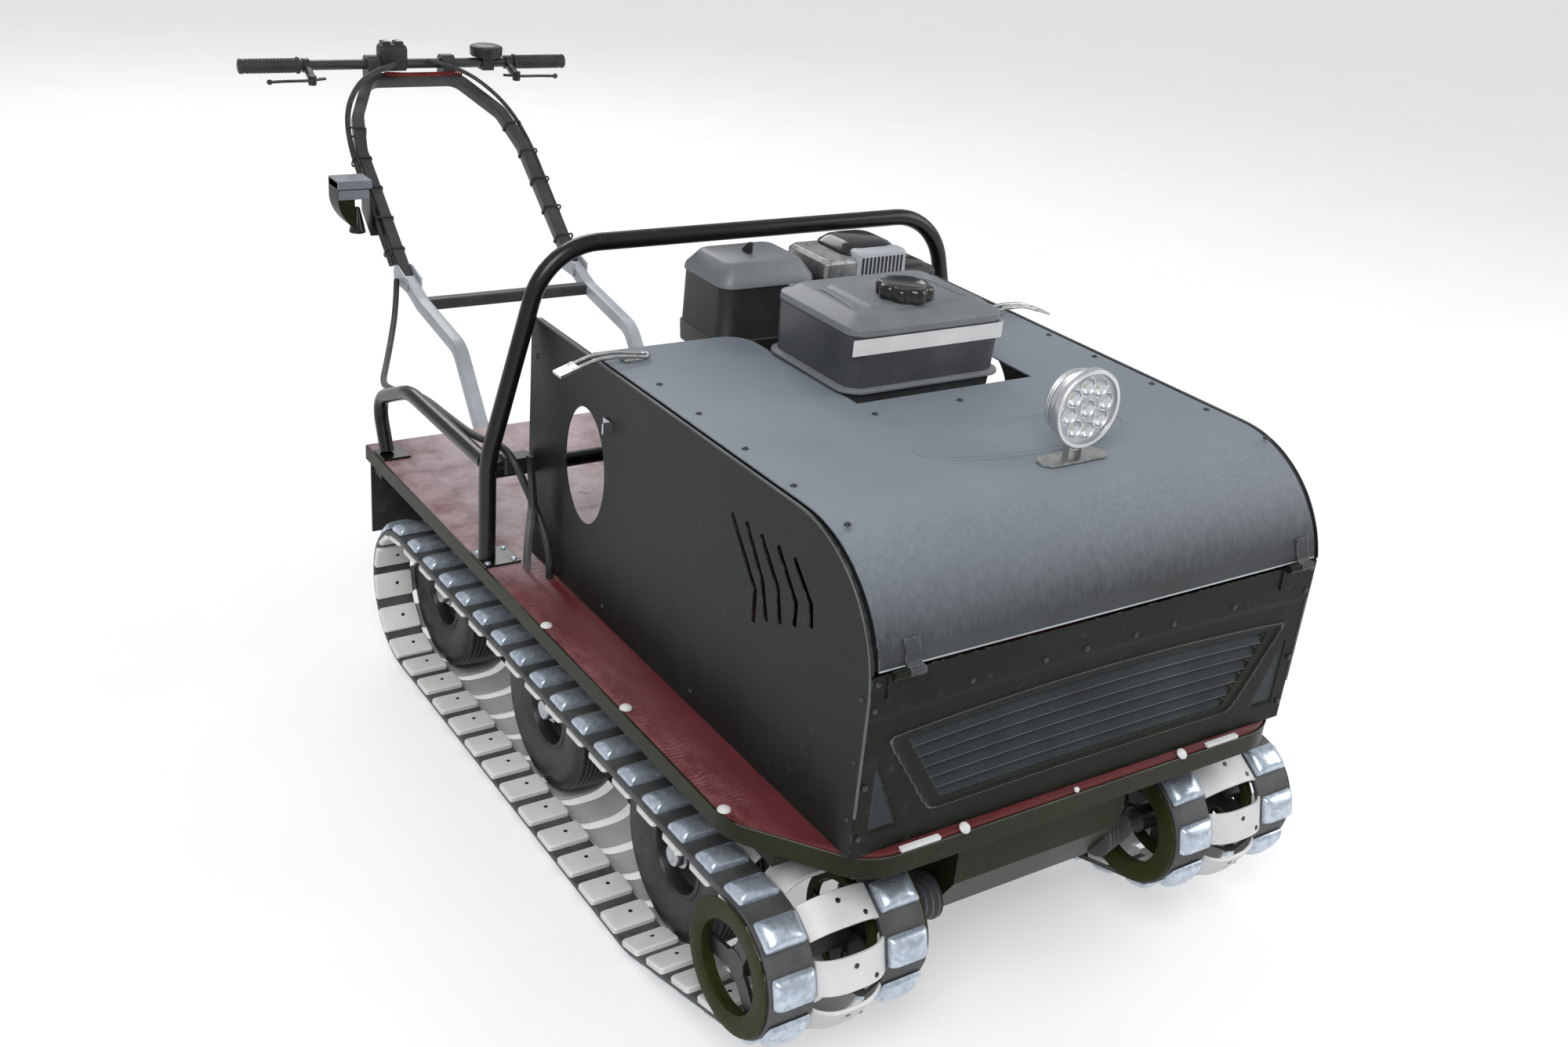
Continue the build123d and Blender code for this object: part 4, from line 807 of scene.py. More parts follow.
# Painted highlight: a thin pale tube along the rim's front top edge stands in for the light caught there.
edge_line = [spot(x, y, rim_height(x, 0)) for x, y in outside if y < 130]
piece("rim_edge", [swept(edge_line, circle(0.9, 6), side=(0, 0, 1))], "worn_edge", angle=70)

# Wheels: ribbed tyres, dished rims and zinc hubs.
RIM = 62.0
TYRE = 136.0
RIB_PITCH = 8.0
tread = []
for number in range(9):
    rib = RIB_PITCH * number - 36
    crown = TYRE - 2.5 * abs(rib + RIB_PITCH / 2) ** 2 / 36**2
    tread += [(rib, crown - 3.5), (rib + 1.2, crown), (rib + 5.6, crown), (rib + 6.8, crown - 3.5)]
wall = [(-33, RIM + 1), (-36, RIM + 6), (-41, RIM + 16), (-44.5, 92), (-46, 106), (-45, 118), (-41, 128)]
tyre_profile = wall + tread + [(-a, r) for a, r in reversed(wall)]
rim_profile = [
    (-33, RIM - 5), (-36, RIM - 3), (-36, RIM + 4), (-33, RIM + 5), (-30, RIM), (30, RIM), (33, RIM + 5),
    (36, RIM + 4), (36, RIM - 3), (33, RIM - 5), (14, RIM - 8), (10, 44), (14, 30), (12, 20), (-12, 20),
    (-14, 30), (-10, 44), (-14, RIM - 8),
]
hub_profile = [(-43, 6), (-43, 15), (-40, 17), (-30, 17), (-30, 22), (30, 22), (30, 17), (40, 17), (43, 15), (43, 6)]
nut = disc_stack([(0, 7), (6, 7), (7.5, 5.5)], 6)
tyre_parts, rim_parts, hub_parts = [], [], []
for sign in SIDES:
    for back in WHEEL_YS:
        place = Matrix.Translation(spot(sign * WHEEL_X, back, AXLE_Z))
        tyre_parts.append(moved(lathe(tyre_profile, 56), place))
        rim_parts.append(moved(lathe(rim_profile, 40), place))
        hub_parts.append(moved(disc_stack(hub_profile, 24), place))
        for bolt in range(4):
            turn = Matrix.Rotation(math.pi / 2 * bolt + 0.4, 4, "X")
            hub_parts += [moved(nut, place @ turn @ turned((face, 0, 0), (face * 11, 0, 36))) for face in SIDES]
piece("ribbed_tyres", tyre_parts, "tyre_rubber", node="tyres", angle=50)
piece("dished_rims", rim_parts, "rim_paint", node="wheel_rims")
piece("hubs", hub_parts, "bare_steel")

# Drive drums: smooth rings under the bands, on hubs with three arms at each end.
RING_HOLE = 62.0
outer_ring = [
    (106, RING_HOLE + 3), (106, 75), (122.3, 75), (122.3, 90.5), (123.3, 91.5), (124.6, 91), (124.8, 90),
    (124.8, RING_HOLE + 1), (124, RING_HOLE), (118, RING_HOLE), (116, RING_HOLE + 3),
]
inner_ring = [(47, RING_HOLE + 2), (47, 75), (60, 75), (60, RING_HOLE + 2)]
ring_parts, web_parts = [], []
for sign in SIDES:
    place = Matrix.Translation(spot(sign * WHEEL_X, DRUM_Y, DRUM_Z))
    for end in SIDES:
        flipped = place @ Matrix.Scale(end, 4, (1, 0, 0))
        ring_parts += [moved(lathe(outline, 72), flipped) for outline in (outer_ring, inner_ring)]
    web_parts.append(moved(disc_stack([(-112, 17), (-112, 20), (112, 20), (112, 17)], 28), place))
    for x in (-56, 108):
        for arm in range(3):
            spin = place @ Matrix.Rotation(2 * math.pi * arm / 3 + 0.35, 4, "X")
            web_parts.append(moved(block((sign * x - 3, -13, 15), (sign * x + 3, 13, 66)), spin))
piece("smooth_drum_rings", ring_parts, "ring_paint", node="drum_rings")
piece("drum_webs", web_parts, "rim_paint", bevel=0.8)

# Tubes: smooth round and square tubes along the same lines as the part's.
ROLL_Y = 886.0
ROLL_X = DECK_HALF - 16
ROLL_SHOULDER = ROLL_X - 89
RAIL_X = DECK_HALF - 18
FOLD_Y = DECK_LENGTH + 524
FOLD_Z = 137.0
BAR_Y = FOLD_Y + 456
BAR_Z = 479.0
HANDLE_X = 190.0
roll_line = [
    (-ROLL_X, ROLL_Y, 0.5), (-ROLL_X, ROLL_Y, 168), (-ROLL_SHOULDER, ROLL_Y, 497),
    (ROLL_SHOULDER, ROLL_Y, 497), (ROLL_X, ROLL_Y, 168), (ROLL_X, ROLL_Y, 0.5),
]
tube("roll_bar_tube", route(roll_line, (200, 110, 110, 200), 12), 27, "frame_paint")
tube("roll_bar_cross", [spot(-ROLL_X, ROLL_Y, 150), spot(ROLL_X, ROLL_Y, 150)], 24, "frame_paint")
foot_parts, foot_screws = [], []
for x in (15 - ROLL_X, ROLL_X - 15):
    foot_parts.append(box((x - 30, ROLL_Y - 30, 0.2), (x + 30, ROLL_Y + 30, 4)))
    for dx, dy in ((-22, -20), (22, -20), (-22, 20), (22, 20)):
        foot_screws += screw(spot(x + dx, ROLL_Y + dy, 4), (0, 0, 1))
piece("roll_bar_feet", foot_parts, "frame_paint", node="roll_bar", bevel=1.2)
piece("foot_screws", foot_screws, "clip_zinc")

rail_line = [(ROLL_Y + 14.3, 161), (DECK_LENGTH - 171, 161), (DECK_LENGTH - 20, 96), (DECK_LENGTH - 60, 8)]
rail_feet = []
for side, sign in (("left", 1), ("right", -1)):
    line = [(sign * RAIL_X, y, z) for y, z in rail_line]
    tube(f"rail_{side}", route(line, (150, 40), 12), 25, "frame_paint")
for x in (10 - RAIL_X, RAIL_X - 10):
    rail_feet.append(box((x - 25, DECK_LENGTH - 85, 0.2), (x + 25, DECK_LENGTH - 35, 5)))
piece("rail_feet", rail_feet, "frame_paint", node="rear_rails", bevel=1.2)

# Handle: silver lower tubes with their ears, and the dark fork that folds on them.
lower_line = [
    (DECK_LENGTH - 96, -67.8), (DECK_LENGTH + 114, -67.8), (DECK_LENGTH + 232, 72), (FOLD_Y - 98, 102),
    (FOLD_Y - 22.6, 129),
]
EAR_RADIUS = 20
ear_turns = [math.radians(degrees) for degrees in range(-90, 91, 15)]
ear_profile = [
    (FOLD_Y - 52.6, 115),
    *((FOLD_Y + EAR_RADIUS * math.cos(turn), FOLD_Z + EAR_RADIUS * math.sin(turn)) for turn in ear_turns),
    (FOLD_Y - 52.6, 143),
]
hex_head = [(0, 9), (5.5, 9), (7, 7)]
base_parts, ear_parts, bolt_parts = [], [], []
for sign in SIDES:
    x = sign * HANDLE_X
    base_parts.append(swept(route([(x, y, z) for y, z in lower_line], (60, 60, 60), 8), square(12.5)))
    for face in SIDES:
        low, high = sorted((x + face * 13.5, x + face * 17.5))
        ear_parts.append(prism(ear_profile, low, high, side_on))
    bolt_parts.append(discs_at(hex_head, 6, (-sign, 0, 0), spot(x - sign * 17.5, FOLD_Y, FOLD_Z)))
    bolt_parts.append(discs_at([(-14, 5), (14, 5)], 16, (1, 0, 0), spot(x, FOLD_Y, FOLD_Z)))
piece("lower_tubes", base_parts, "handle_silver", node="handle_base", angle=50)
piece("fold_ears", ear_parts, "handle_silver", bevel=0.8)
piece("fold_bolts", bolt_parts, "clip_zinc")
lower_cross = [spot(-HANDLE_X + 12, FOLD_Y - 98, 102), spot(HANDLE_X - 12, FOLD_Y - 98, 102)]
piece("lower_cross", [swept(lower_cross, square(11.5), side=(0, 1, 0))], "handle_dark", angle=50)

fork_side = [
    (HANDLE_X, FOLD_Y - 7, FOLD_Z - 5), (HANDLE_X - 2, FOLD_Y + 254, 331), (HANDLE_X - 22, FOLD_Y + 330, 389),
    (104, BAR_Y - 16, 446),
]
fork_line = [(-x, y, z) for x, y, z in fork_side] + fork_side[::-1]
fork_path = route(fork_line, (80, 70, 40, 40, 70, 80), 10)
piece("fork_tube", [swept(fork_path, square(12.3))], "handle_dark", "handle", "handle_fork", angle=50)


def along(path, share):
    """Point and direction at a share of a path's length."""
    lengths = [(b - a).length for a, b in zip(path, path[1:])]
    left = share * sum(lengths)
    for (a, b), length in zip(zip(path, path[1:]), lengths):
        if left <= length:
            return a.lerp(b, left / length), (b - a).normalized()
        left -= length
    return path[-1], (path[-1] - path[-2]).normalized()


TIE_SECTION = [(-0.8, -2.4), (0.8, -2.4), (0.8, 2.4), (-0.8, 2.4)]
tie_parts = []
for share in (0.05, 0.11, 0.17, 0.23, 0.29, 0.71, 0.77, 0.83, 0.89, 0.95):
    point, way = along(fork_path, share)
    outward = Vector((1 if share > 0.5 else -1, 0, 0))
    outward = (outward - way * outward.dot(way)).normalized()
    turn = way.to_track_quat("Z", "X")
    size = (20.5, 14.2)
    if abs((turn @ Vector((1, 0, 0))).dot(outward)) < 0.7:
        size = size[::-1]
    loop = [point + outward * 5.5 + turn @ Vector((a, b, 0)) for a, b in rounded_rect(0, 0, *size, 6, 4)]
    tie_parts.append(swept(loop, TIE_SECTION, side=outward, closed=True))
piece("cable_ties", tie_parts, "black_plastic", "handle", angle=30)

# Cables: each spline's control points are the part's route points.
rail_route = [
    (-387, 792, 0), (-387, 792, 34), (-389, 808, 68), (-394, 834, 102), (-404, 850, 136), (-414, 862, 166),
    (-421, 886, 184), (-425, 926, 180), (-428.5, 985, 166), (-429.5, 1090, 160), (-428.5, 1210, 154),
    (-427.5, 1298, 126), (-420.5, 1376, 104), (-400, 1476, 76), (-345, 1606, 58), (-286, 1736, 62),
    (-238, 1836, 92), (-214, 1894, 131),
]
fork_route = [
    (-209, 1934, 151), (-209, 1980, 189), (-208, 2070, 261), (-209, 2168, 337), (-191, 2246, 401), (-146, 2298, 449),
    (-104, 2312, 471), (-66, 2314, 483), (-46, 2326, 486), (-46, 2347, 486),
]
other_route = [(-x, y, z) for x, y, z in fork_route[:6]] + [(96, 2322, 476), (52, 2340, 486), (40, 2352, 488)]
rail_cable = cable("rail_line", rail_route, 12, "chassis", "rail_cable")
cable("other_fork_line", other_route, 9, "handle")

# A thin wire coiled in a row under the bar, from left to right of the switch pod.
COIL_TURNS, COIL_STEPS, COIL_RADIUS = 34, 12, 6.2
coil_line = []
for step in range(COIL_STEPS * COIL_TURNS + 1):
    angle = 2 * math.pi * step / COIL_STEPS
    share = step / (COIL_STEPS * COIL_TURNS)
    down = 20 + 4 * math.sin(math.pi * share)
    back, up = COIL_RADIUS * math.cos(angle), COIL_RADIUS * math.sin(angle)
    coil_line.append(spot(-64 + 182 * share, BAR_Y - 19 + back, BAR_Z - down + up))
piece("coiled_wire", [swept(coil_line, circle(1.5, 6), side=(0, 0, 1))], "coil_red", "handle", angle=70)
fork_cable = cable("fork_line", fork_route, 12, "handle", "fork_cable")
for line, points, length in ((rail_cable, rail_route, 1.29), (fork_cable, fork_route, 0.613)):
    spot(*points[0]) / 1000

# Lamp beside the fork: a curved olive housing, a stepped pale face, its bracket and a black cable cone.
LAMP_IN, LAMP_OUT, LAMP_FACE, LAMP_TOP = -223.0, -295.0, 2002.0, 314.0
curve_steps = [step / 10 for step in range(11)]
under = [
    tuple((1 - t) ** 2 * start + 2 * t * (1 - t) * pull + t * t * end for start, pull, end in (
        (LAMP_OUT, -293, -259), (272, 238, 210),
    ))
    for t in curve_steps
]
housing = [(LAMP_IN, LAMP_TOP - 2), (LAMP_OUT, LAMP_TOP - 2), *under, (-259, 288), (LAMP_IN, 288)]
side_shell = prism(housing, LAMP_FACE + 3, LAMP_FACE + 62, front_on)
piece("side_lamp_shell", [side_shell], "rim_olive", "handle", "side_lamp", bevel=1.5)
face_parts = [
    box((LAMP_OUT, LAMP_FACE, 296), (LAMP_IN, LAMP_FACE + 58, LAMP_TOP)),
    box((LAMP_OUT + 1, LAMP_FACE + 1.5, 274), (LAMP_IN - 6, LAMP_FACE + 5, 294)),
]
piece("side_lamp_face", face_parts, "face_grey", "handle", bevel=1.6, segments=3)
bracket = [
    prism([(2007, 198), (2059, 240), (2059, 288), (2007, 288)], -227, -223, side_on),
    prism([(2007, 198), (2059, 240), (2059, 236), (2007, 194)], -227, -192, side_on),
]
piece("side_lamp_bracket", bracket, "lever_black", "handle", bevel=0.6)
cone = [(0, 15), (0.5, 17), (3, 17.5), (6, 16.5), (52, 6), (54, 4)]
piece("side_lamp_cone", [discs_at(cone, 28, (0, 0, 1), spot(-246, 2033, 197))], "gloss_black", "handle")

# Handlebar with ridged grips.
BAR_HALF = 381.8
ALONG_BAR = (1, 0, 0)
bar = [spot(-BAR_HALF, BAR_Y, BAR_Z), spot(BAR_HALF, BAR_Y, BAR_Z)]
tube("bar_tube", bar, 22, "handle_dark", "handle", "handlebar")
grip_profile = [(0, 11.2), (0, 17.2), (3, 18.2), (6, 17.6), (8, 15.4)]
for ridge in range(14):
    start = 12 + ridge * 7.6
    grip_profile += [(start, 14.6), (start + 1, 15.8), (start + 5, 15.8), (start + 6, 14.6)]
grip_profile += [(122, 15.2), (126, 16.4), (130, 15.6), (130.2, 11.2)]
grip_parts = []
for sign in SIDES:
    grip_parts.append(moved(lathe(grip_profile, 28), turned((sign, 0, 0), spot(sign * 252, BAR_Y, BAR_Z))))
    grip_parts.append(discs_at([(0, 9.5), (1.8, 8.6)], 24, (sign, 0, 0), spot(sign * 381.6, BAR_Y, BAR_Z)))
piece("ridged_grips", grip_parts, "grip_rubber", "handle", "bar_grips", angle=60)

# Brake levers: a clamp ring, a short holder and a curved blade with a ball end.
LEVER_X = 238.0
BALL = 6
ring = [(-7, 11.3), (-7, 15.5), (7, 15.5), (7, 11.3)]
ball_turns = [math.radians(degrees) for degrees in range(0, 181, 15)]
ball = [(math.cos(turn) * -BALL, max(0.4, math.sin(turn) * BALL)) for turn in ball_turns]
lever_parts, blade_parts = [], []


def by_bar(sign, across, back, up):
    """A spot given from the bar's middle line and a lever's clamp ring."""
    return spot(sign * (LEVER_X + across), BAR_Y + back, BAR_Z + up)


for sign in SIDES:
    lever_parts.append(moved(lathe(ring, 28), turned(ALONG_BAR, by_bar(sign, 0, 0, 0))))
    holder = [by_bar(sign, 0, -11, -5), by_bar(sign, 0, -30, -13), by_bar(sign, 2, -50, -22)]
    lever_parts.append(swept(rounded_path(holder, (30,), 5), rounded_rect(0, 0, 7, 8, 3, 3)))
    lever_parts.append(discs_at([(0, 8), (1, 9), (20, 9), (21, 8)], 18, (0, 0, 1), by_bar(sign, 2, -51, -33)))
    blade = [by_bar(sign, *place) for place in ((-28, -44, -21), (14, -58, -22), (60, -53, -23), (96, -59, -23))]
    blade_parts.append(swept(rounded_path(blade, (40, 70), 8), rounded_rect(0, 0, 5.5, 2.6, 2.2, 3), side=(0, 1, 0)))
    blade_parts.append(discs_at(ball, 16, ALONG_BAR, by_bar(sign, 97, -59, -23)))
piece("lever_holders", lever_parts, "lever_black", "handle", "brake_levers", bevel=0.8)
piece("lever_blades", blade_parts, "lever_black", "handle", angle=50)

# Switch pod with two rockers and light caps, and a domed round gauge.
pod = stack((-41, BAR_Y), [
    (BAR_Z - 13, 28, 16, 6), (BAR_Z - 11, 30, 18, 6), (BAR_Z + 8, 31, 19, 6), (BAR_Z + 34, 31, 19, 6),
    (BAR_Z + 41, 29, 17, 6, 1), (BAR_Z + 44, 25, 13, 6, 1),
])
piece("switch_body", [pod], "black_plastic", "handle", "switch_pod", bevel=0.8)
rocker_parts, cap_parts = [], []
for x in (-56, -27):
    rocker = [(BAR_Z + 43, 10, 14, 3), (BAR_Z + 49, 9.5, 13.5, 3), (BAR_Z + 51, 7.5, 11.5, 3)]
    rocker_parts.append(stack((x, BAR_Y + 1), rocker))
    cap_parts.append(stack((x, BAR_Y - 6), [(BAR_Z + 50.4, 6, 3.4, 1), (BAR_Z + 52.2, 5.6, 3.0, 1)]))
piece("rockers", rocker_parts, "lever_black", "handle", bevel=0.5)
piece("rocker_caps", cap_parts, "drum_white", "handle")
GAUGE = spot(186, BAR_Y, BAR_Z)
UPWARD = (0, 0, 1)
gauge_profile = [(14, 33), (16, 36.5), (34, 38), (37, 36), (38, 33.5), (38.6, 31)]
dome_turns = [math.radians(degrees) for degrees in range(80, -1, -16)]
dome = [(38.6 + 3.2 * math.cos(turn), max(31 * math.sin(turn), 0.4)) for turn in dome_turns]
gauge_parts = [
    discs_at(gauge_profile, 40, UPWARD, GAUGE), box((172, BAR_Y - 15, BAR_Z - 16), (200, BAR_Y + 15, BAR_Z + 15)),
]
piece("gauge_body", gauge_parts, "black_plastic", "handle", "gauge_pod", bevel=0.8)
piece("gauge_glass", [discs_at(dome, 40, UPWARD, GAUGE)], "lever_black", "handle", angle=60)

# Engine: a sculpted tank, its scalloped cap, the air box, the recoil housing and the exhaust's covers.
TANK = (16, 542)
NECK_BOTTOM = 300.4
tank_body = [(335, 122, 92, 24), (341, 127, 96, 26), (392, 131, 100, 26), (449, 133, 102, 26), (473, 133.5, 102.5, 26)]
tank_lip = [(392, 133, 101, 28), (394, 141, 108, 32), (398, 141, 108, 32), (400, 134, 102, 27)]
tank_cap = [(473.2, 133, 102, 26), (475, 134, 103, 26), (484, 133, 102, 25), (497, 112, 82, 20), (498, 109, 79, 18)]
raised = [(497, 84, 62, 14, -8), (501.5, 78, 56, 12, -8), (502, 76, 54, 11, -8)]
ridge_parts = []
for sign in SIDES:
    ridge = [(118, 458, 486), (97, 492, 496.5), (92, 570, 498), (112, 632, 489)]
    ridge = route([(TANK[0] + sign * x, y, z) for x, y, z in ridge], (30, 40), 6)
    ridge_parts.append(swept(ridge, rounded_rect(0, 0, 7, 3.2, 2.5, 3)))
piece("tank_body", [stack(TANK, tank_body)], "tank_paint", node="fuel_tank", angle=35)
top_parts = [stack(TANK, tank_cap), stack(TANK, raised), *ridge_parts]
piece("tank_top", top_parts, "cap_grey", bevel=1.6, angle=35, segments=3)
piece("tank_lip", [stack(TANK, tank_lip)], "cap_grey", bevel=0.8, angle=35)
stripe = [
    (-118.5, 439.4), (138, 439.4), (144, 440.6), (148.5, 445), (149.5, 450),
    (148.8, 450.3), (147.8, 445.6), (143.6, 441.4), (138, 440.2), (-118.5, 440.2),
]
piece("tank_stripe", [loft([(449, stripe), (472, stripe)])], "drum_white", angle=60)
tank_feet = [
    box((TANK[0] + x - 12, TANK[1] + y - 12, NECK_BOTTOM), (TANK[0] + x + 12, TANK[1] + y + 12, 342))
    for x in (-67, 67) for y in (-50, 50)
]
piece("tank_feet", tank_feet, "engine_paint", bevel=1)

CAP = (12, 508)
LOBES = 8


def cap_outline(radius, depth, steps=96):
    """The cap's edge from above, with a wave of soft hollows of the given depth."""
    points = []
    for step in range(steps):
        angle = 2 * math.pi * step / steps
        wave = (0.5 + 0.5 * math.cos(LOBES * angle)) ** 0.6
        reach = radius - depth * (1 - wave)
        points.append((CAP[0] + reach * math.cos(angle), CAP[1] + reach * math.sin(angle)))
    return points


cap_rings = (
    (498.6, 33, 0), (501, 33, 0), (503, 41, 5), (516, 42, 6), (521, 39, 5), (522.2, 35, 3), (521.4, 28, 0),
    (519.6, 26, 0),
)
cap = loft([(height, cap_outline(radius, depth)) for height, radius, depth in cap_rings])
piece("scalloped_cap", [cap], "gloss_black", node="fuel_cap", angle=45)

AIR = (-65, 795)
air_body = [
    (340, 76, 61, 20), (345, 83, 68, 22), (374, 84.5, 69.5, 22), (375, 83, 68, 22), (377, 82, 67, 22),
    (456, 81, 66, 22),
]
air_roof = [(456, 82, 67, 22), (457, 83.5, 68.5, 22), (466, 82, 67, 22), (488, 66, 51, 18), (490, 62, 47, 16)]
air_neck = [(NECK_BOTTOM, 30, 30, 8), (342, 30, 30, 8)]
air_parts = [stack(AIR, air_body), stack(AIR, air_neck)]
piece("air_box_body", air_parts, "black_plastic", node="air_filter_box", angle=35)
piece("air_box_roof", [stack(AIR, air_roof)], "cap_grey", bevel=1.4, angle=35, segments=3)
hook = [(786, 489), (786, 508), (790, 508), (806, 494), (806, 489)]
piece("air_box_hook", [prism(hook, -73, -66, side_on)], "black_plastic", bevel=1)

heat_body = span_stack([
    (340, 36, 252, 732, 848, 14), (350, 33, 255, 729, 850, 16), (452, 33, 255, 729, 850, 16),
    (458, 36, 252, 732, 848, 15),
])
heat_neck = span_stack([(NECK_BOTTOM, 67, 117, 764, 814, 8), (345, 67, 117, 764, 814, 8)])
piece("exhaust_body", [heat_body, heat_neck], "black_plastic", node="muffler", bevel=1.2, angle=35)
left_plate = [(456, 34, 150, 731, 848, 10), (478, 36, 148, 733, 846, 10), (484, 42, 142, 738, 842, 10)]
front_frame = [(452, 92, 188, 728.3, 760, 6), (490, 94, 186, 729, 760, 6), (494, 97, 183, 731, 758, 6)]
piece("exhaust_left", [span_stack(left_plate)], "muffler_steel", bevel=1.2, angle=35)
piece("exhaust_frame", [span_stack(front_frame)], "cap_light", bevel=1.4, angle=35)
dome_left = [
    (476, 84, 190, 744, 849, 26), (487, 84, 190, 744, 849, 26), (496, 94, 180, 756, 840, 24),
    (500, 104, 170, 768, 830, 20),
]
dome_right = [
    (440, 176, 256, 732, 850, 28), (452, 176, 256, 732, 850, 28), (460, 184, 248, 744, 840, 24),
    (462, 190, 242, 752, 832, 22),
]
dome_parts = [span_stack(dome_left), span_stack(dome_right)]
piece("exhaust_plates", dome_parts, "gloss_black", bevel=1.8, angle=30, segments=3)
vent_starts = [100 + i * 7.4 for i in range(11)]
vents = [box((x, 727.6, 458), (x + 3.6, 729.5, 486)) for x in vent_starts]
piece("exhaust_vents", vents, "lever_black", bevel=0.5)

# Recoil starter's housing with its slots, on the engine's front.
FORWARD = (0, -1, 0)
RECOIL = spot(20, 469.6, 170)
recoil_profile = [(0, 104), (4, 105), (30, 101), (42, 88), (49.5, 60), (50, 20), (50, 4)]
recoil = discs_at(recoil_profile, 48, FORWARD, RECOIL)
piece("recoil_cover", [recoil], "engine_paint", node="starter_housing", bevel=1, angle=50)
slots = [
    moved(block((46.2, -2, 64), (47.8, 2, 84)), turned(FORWARD, RECOIL) @ Matrix.Rotation(2 * math.pi * i / 24, 4, "X"))
    for i in range(24)
]
piece("recoil_slots", slots, "lever_black", bevel=0.6)

# Round work lamp: silver shell, finned back, and nine reflector cups behind the clear lens.
LAMP = spot(37, 142, 463)
lamp_low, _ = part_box("lamp_housing")
shell_profile = [
    (-46, 4), (-46, 22), (-44, 30), (-36, 33), (-36, 43), (-34, 44), (-32, 43), (-32, 38), (-30, 38), (-30, 45),
    (-28, 46), (-26, 45), (-26, 40), (-24, 40), (-24, 46), (-14, 46.5), (-12, 52), (-10, 53), (-1.5, 53),
    (0, 51.8), (0.2, 50), (-0.4, 47.6), (-5, 46.6), (-9, 46.4), (-9, 4),
]
lamp_matrix = turned(FORWARD, Vector((LAMP.x, lamp_low.y * 1000, LAMP.z)))
shell = moved(disc_stack(shell_profile, 56), lamp_matrix)
piece("lamp_shell", [shell], "lamp_silver", "lamp", "lamp_housing")
cup_profile = [
    (-8.8, 0.6), (-8.8, 2.2), (-8, 3.6), (-5.6, 7.2), (-3.4, 10.4), (-2.6, 12), (-2.8, 12.8), (-4, 13), (-8.9, 13),
]


def on_lamp(profile, segments, reach, angle):
    """A turned part at a reach and an angle from the lamp's middle."""
    local = Matrix.Translation((0, reach * math.cos(angle), reach * math.sin(angle)))
    return moved(disc_stack(profile, segments), lamp_matrix @ local)


cup_places = [(0 if i == 8 else 30.5, 2 * math.pi * i / 8 + 0.2) for i in range(9)]
cups = [on_lamp(cup_profile, 24, *place) for place in cup_places]
chips = [on_lamp([(-8.8, 2.8), (-7.9, 2.4), (-7.4, 1.2)], 12, *place) for place in cup_places]
piece("lamp_cups", cups, "reflector", "lamp")
piece("lamp_chips", chips, "lamp_chip", "lamp")
screws = [on_lamp([(-9, 2.6), (-6.6, 2.6), (-6, 1.8)], 10, 43.4, turn) for turn in (0.6, 2.2, 3.9, 5.4)]
piece("lamp_screws", screws, "clip_zinc", "lamp")

# Hood: screws and a raised oval on the cover, and the side panels' and the front panel's screws.
cover_low, cover_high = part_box("hood_cover")
COVER_Z = cover_high.z * 1000 - DECK_TOP
COVER_SCREWS = (
    (-338, 574), (-341, 462), (-346, 339), (-351, 221), (-352, 107), (352, 558), (352, 453), (352, 330), (352, 221),
    (352, 110), (-118, 377), (28, 377),
)
cover_screws = []
for x, y in COVER_SCREWS:
    cover_screws += screw(spot(x, y, COVER_Z), UPWARD, radius=4.6, height=2.2)
piece("cover_screws", cover_screws, "lever_black", "hood")
ovals = []
for half_x, half_y, width in ((176, 56, 1.6), (163, 45, 1.2)):
    turns = [2 * math.pi * i / 96 for i in range(96)]
    ring = [spot(28 + half_x * math.cos(turn), 243 + half_y * math.sin(turn), COVER_Z - 0.2) for turn in turns]
    ovals.append(swept(ring, circle(width, 8), side=UPWARD, closed=True))
piece("cover_oval", ovals, "cover_paint", "hood", angle=70)

panel_screws = []
front_places = [(x, 210) for x in (-224, -109, -41, 42, 110, 223)]
front_places += [(x, z) for x in (-366, 366) for z in (28, 100, 205, 240)]
for x, z in front_places:
    panel_screws += screw(spot(x, -0.2, z), FORWARD, radius=4.2, height=2)
for sign in SIDES:
    for y, z in ((14, 50), (14, 130), (14, 215), (380, 22), (640, 22), (880, 60), (880, 330)):
        panel_screws += screw(spot(sign * 375.2, y, z), (sign, 0, 0), radius=4.2, height=2)
piece("panel_screws", panel_screws, "lever_black")

# Formed front panel: an arched recess with six louvres, a strip above it and two sunk corners.
PANEL_HALF, PANEL_TOP = 374.6, 250.0
COLUMNS = 340
LOUVRES = 6
BAND_STEPS = (0.0, 0.10, 0.30, 0.55, 0.78, 0.80, 0.83, 0.86, 0.89, 0.92, 0.96)


def soft_min(values, radius):
    return -radius * math.log(sum(math.exp(-v / radius) for v in values))


def panel_lines(x):
    """Heights of the recess's lower and upper edge and of the strip above it, which arch together."""
    arch = 1 - (x / 338) ** 2
    return 38 + 4 * arch, 160 + 14 * arch, 193 + 6 * arch


def panel_zone(x, z):
    """Distances into the recess, its louvred field and the corner, and the share of a louvre's pitch."""
    low, high, _ = panel_lines(x)
    side = 262 + 76 * (z - low) / (high - low)
    slant = 0.85
    outer = soft_min((slant * (side - abs(x)), z - low, high - z), 5)
    inner = soft_min((slant * (side - 22 - abs(x)), z - low - 8, high - 8 - z), 2)
    corner = min(abs(x) - 307 - (z - 30) * 0.42, z - 30, 352 - abs(x))
    return outer, inner, corner, ((z - low - 8) / (high - low - 16) * LOUVRES) % 1.0


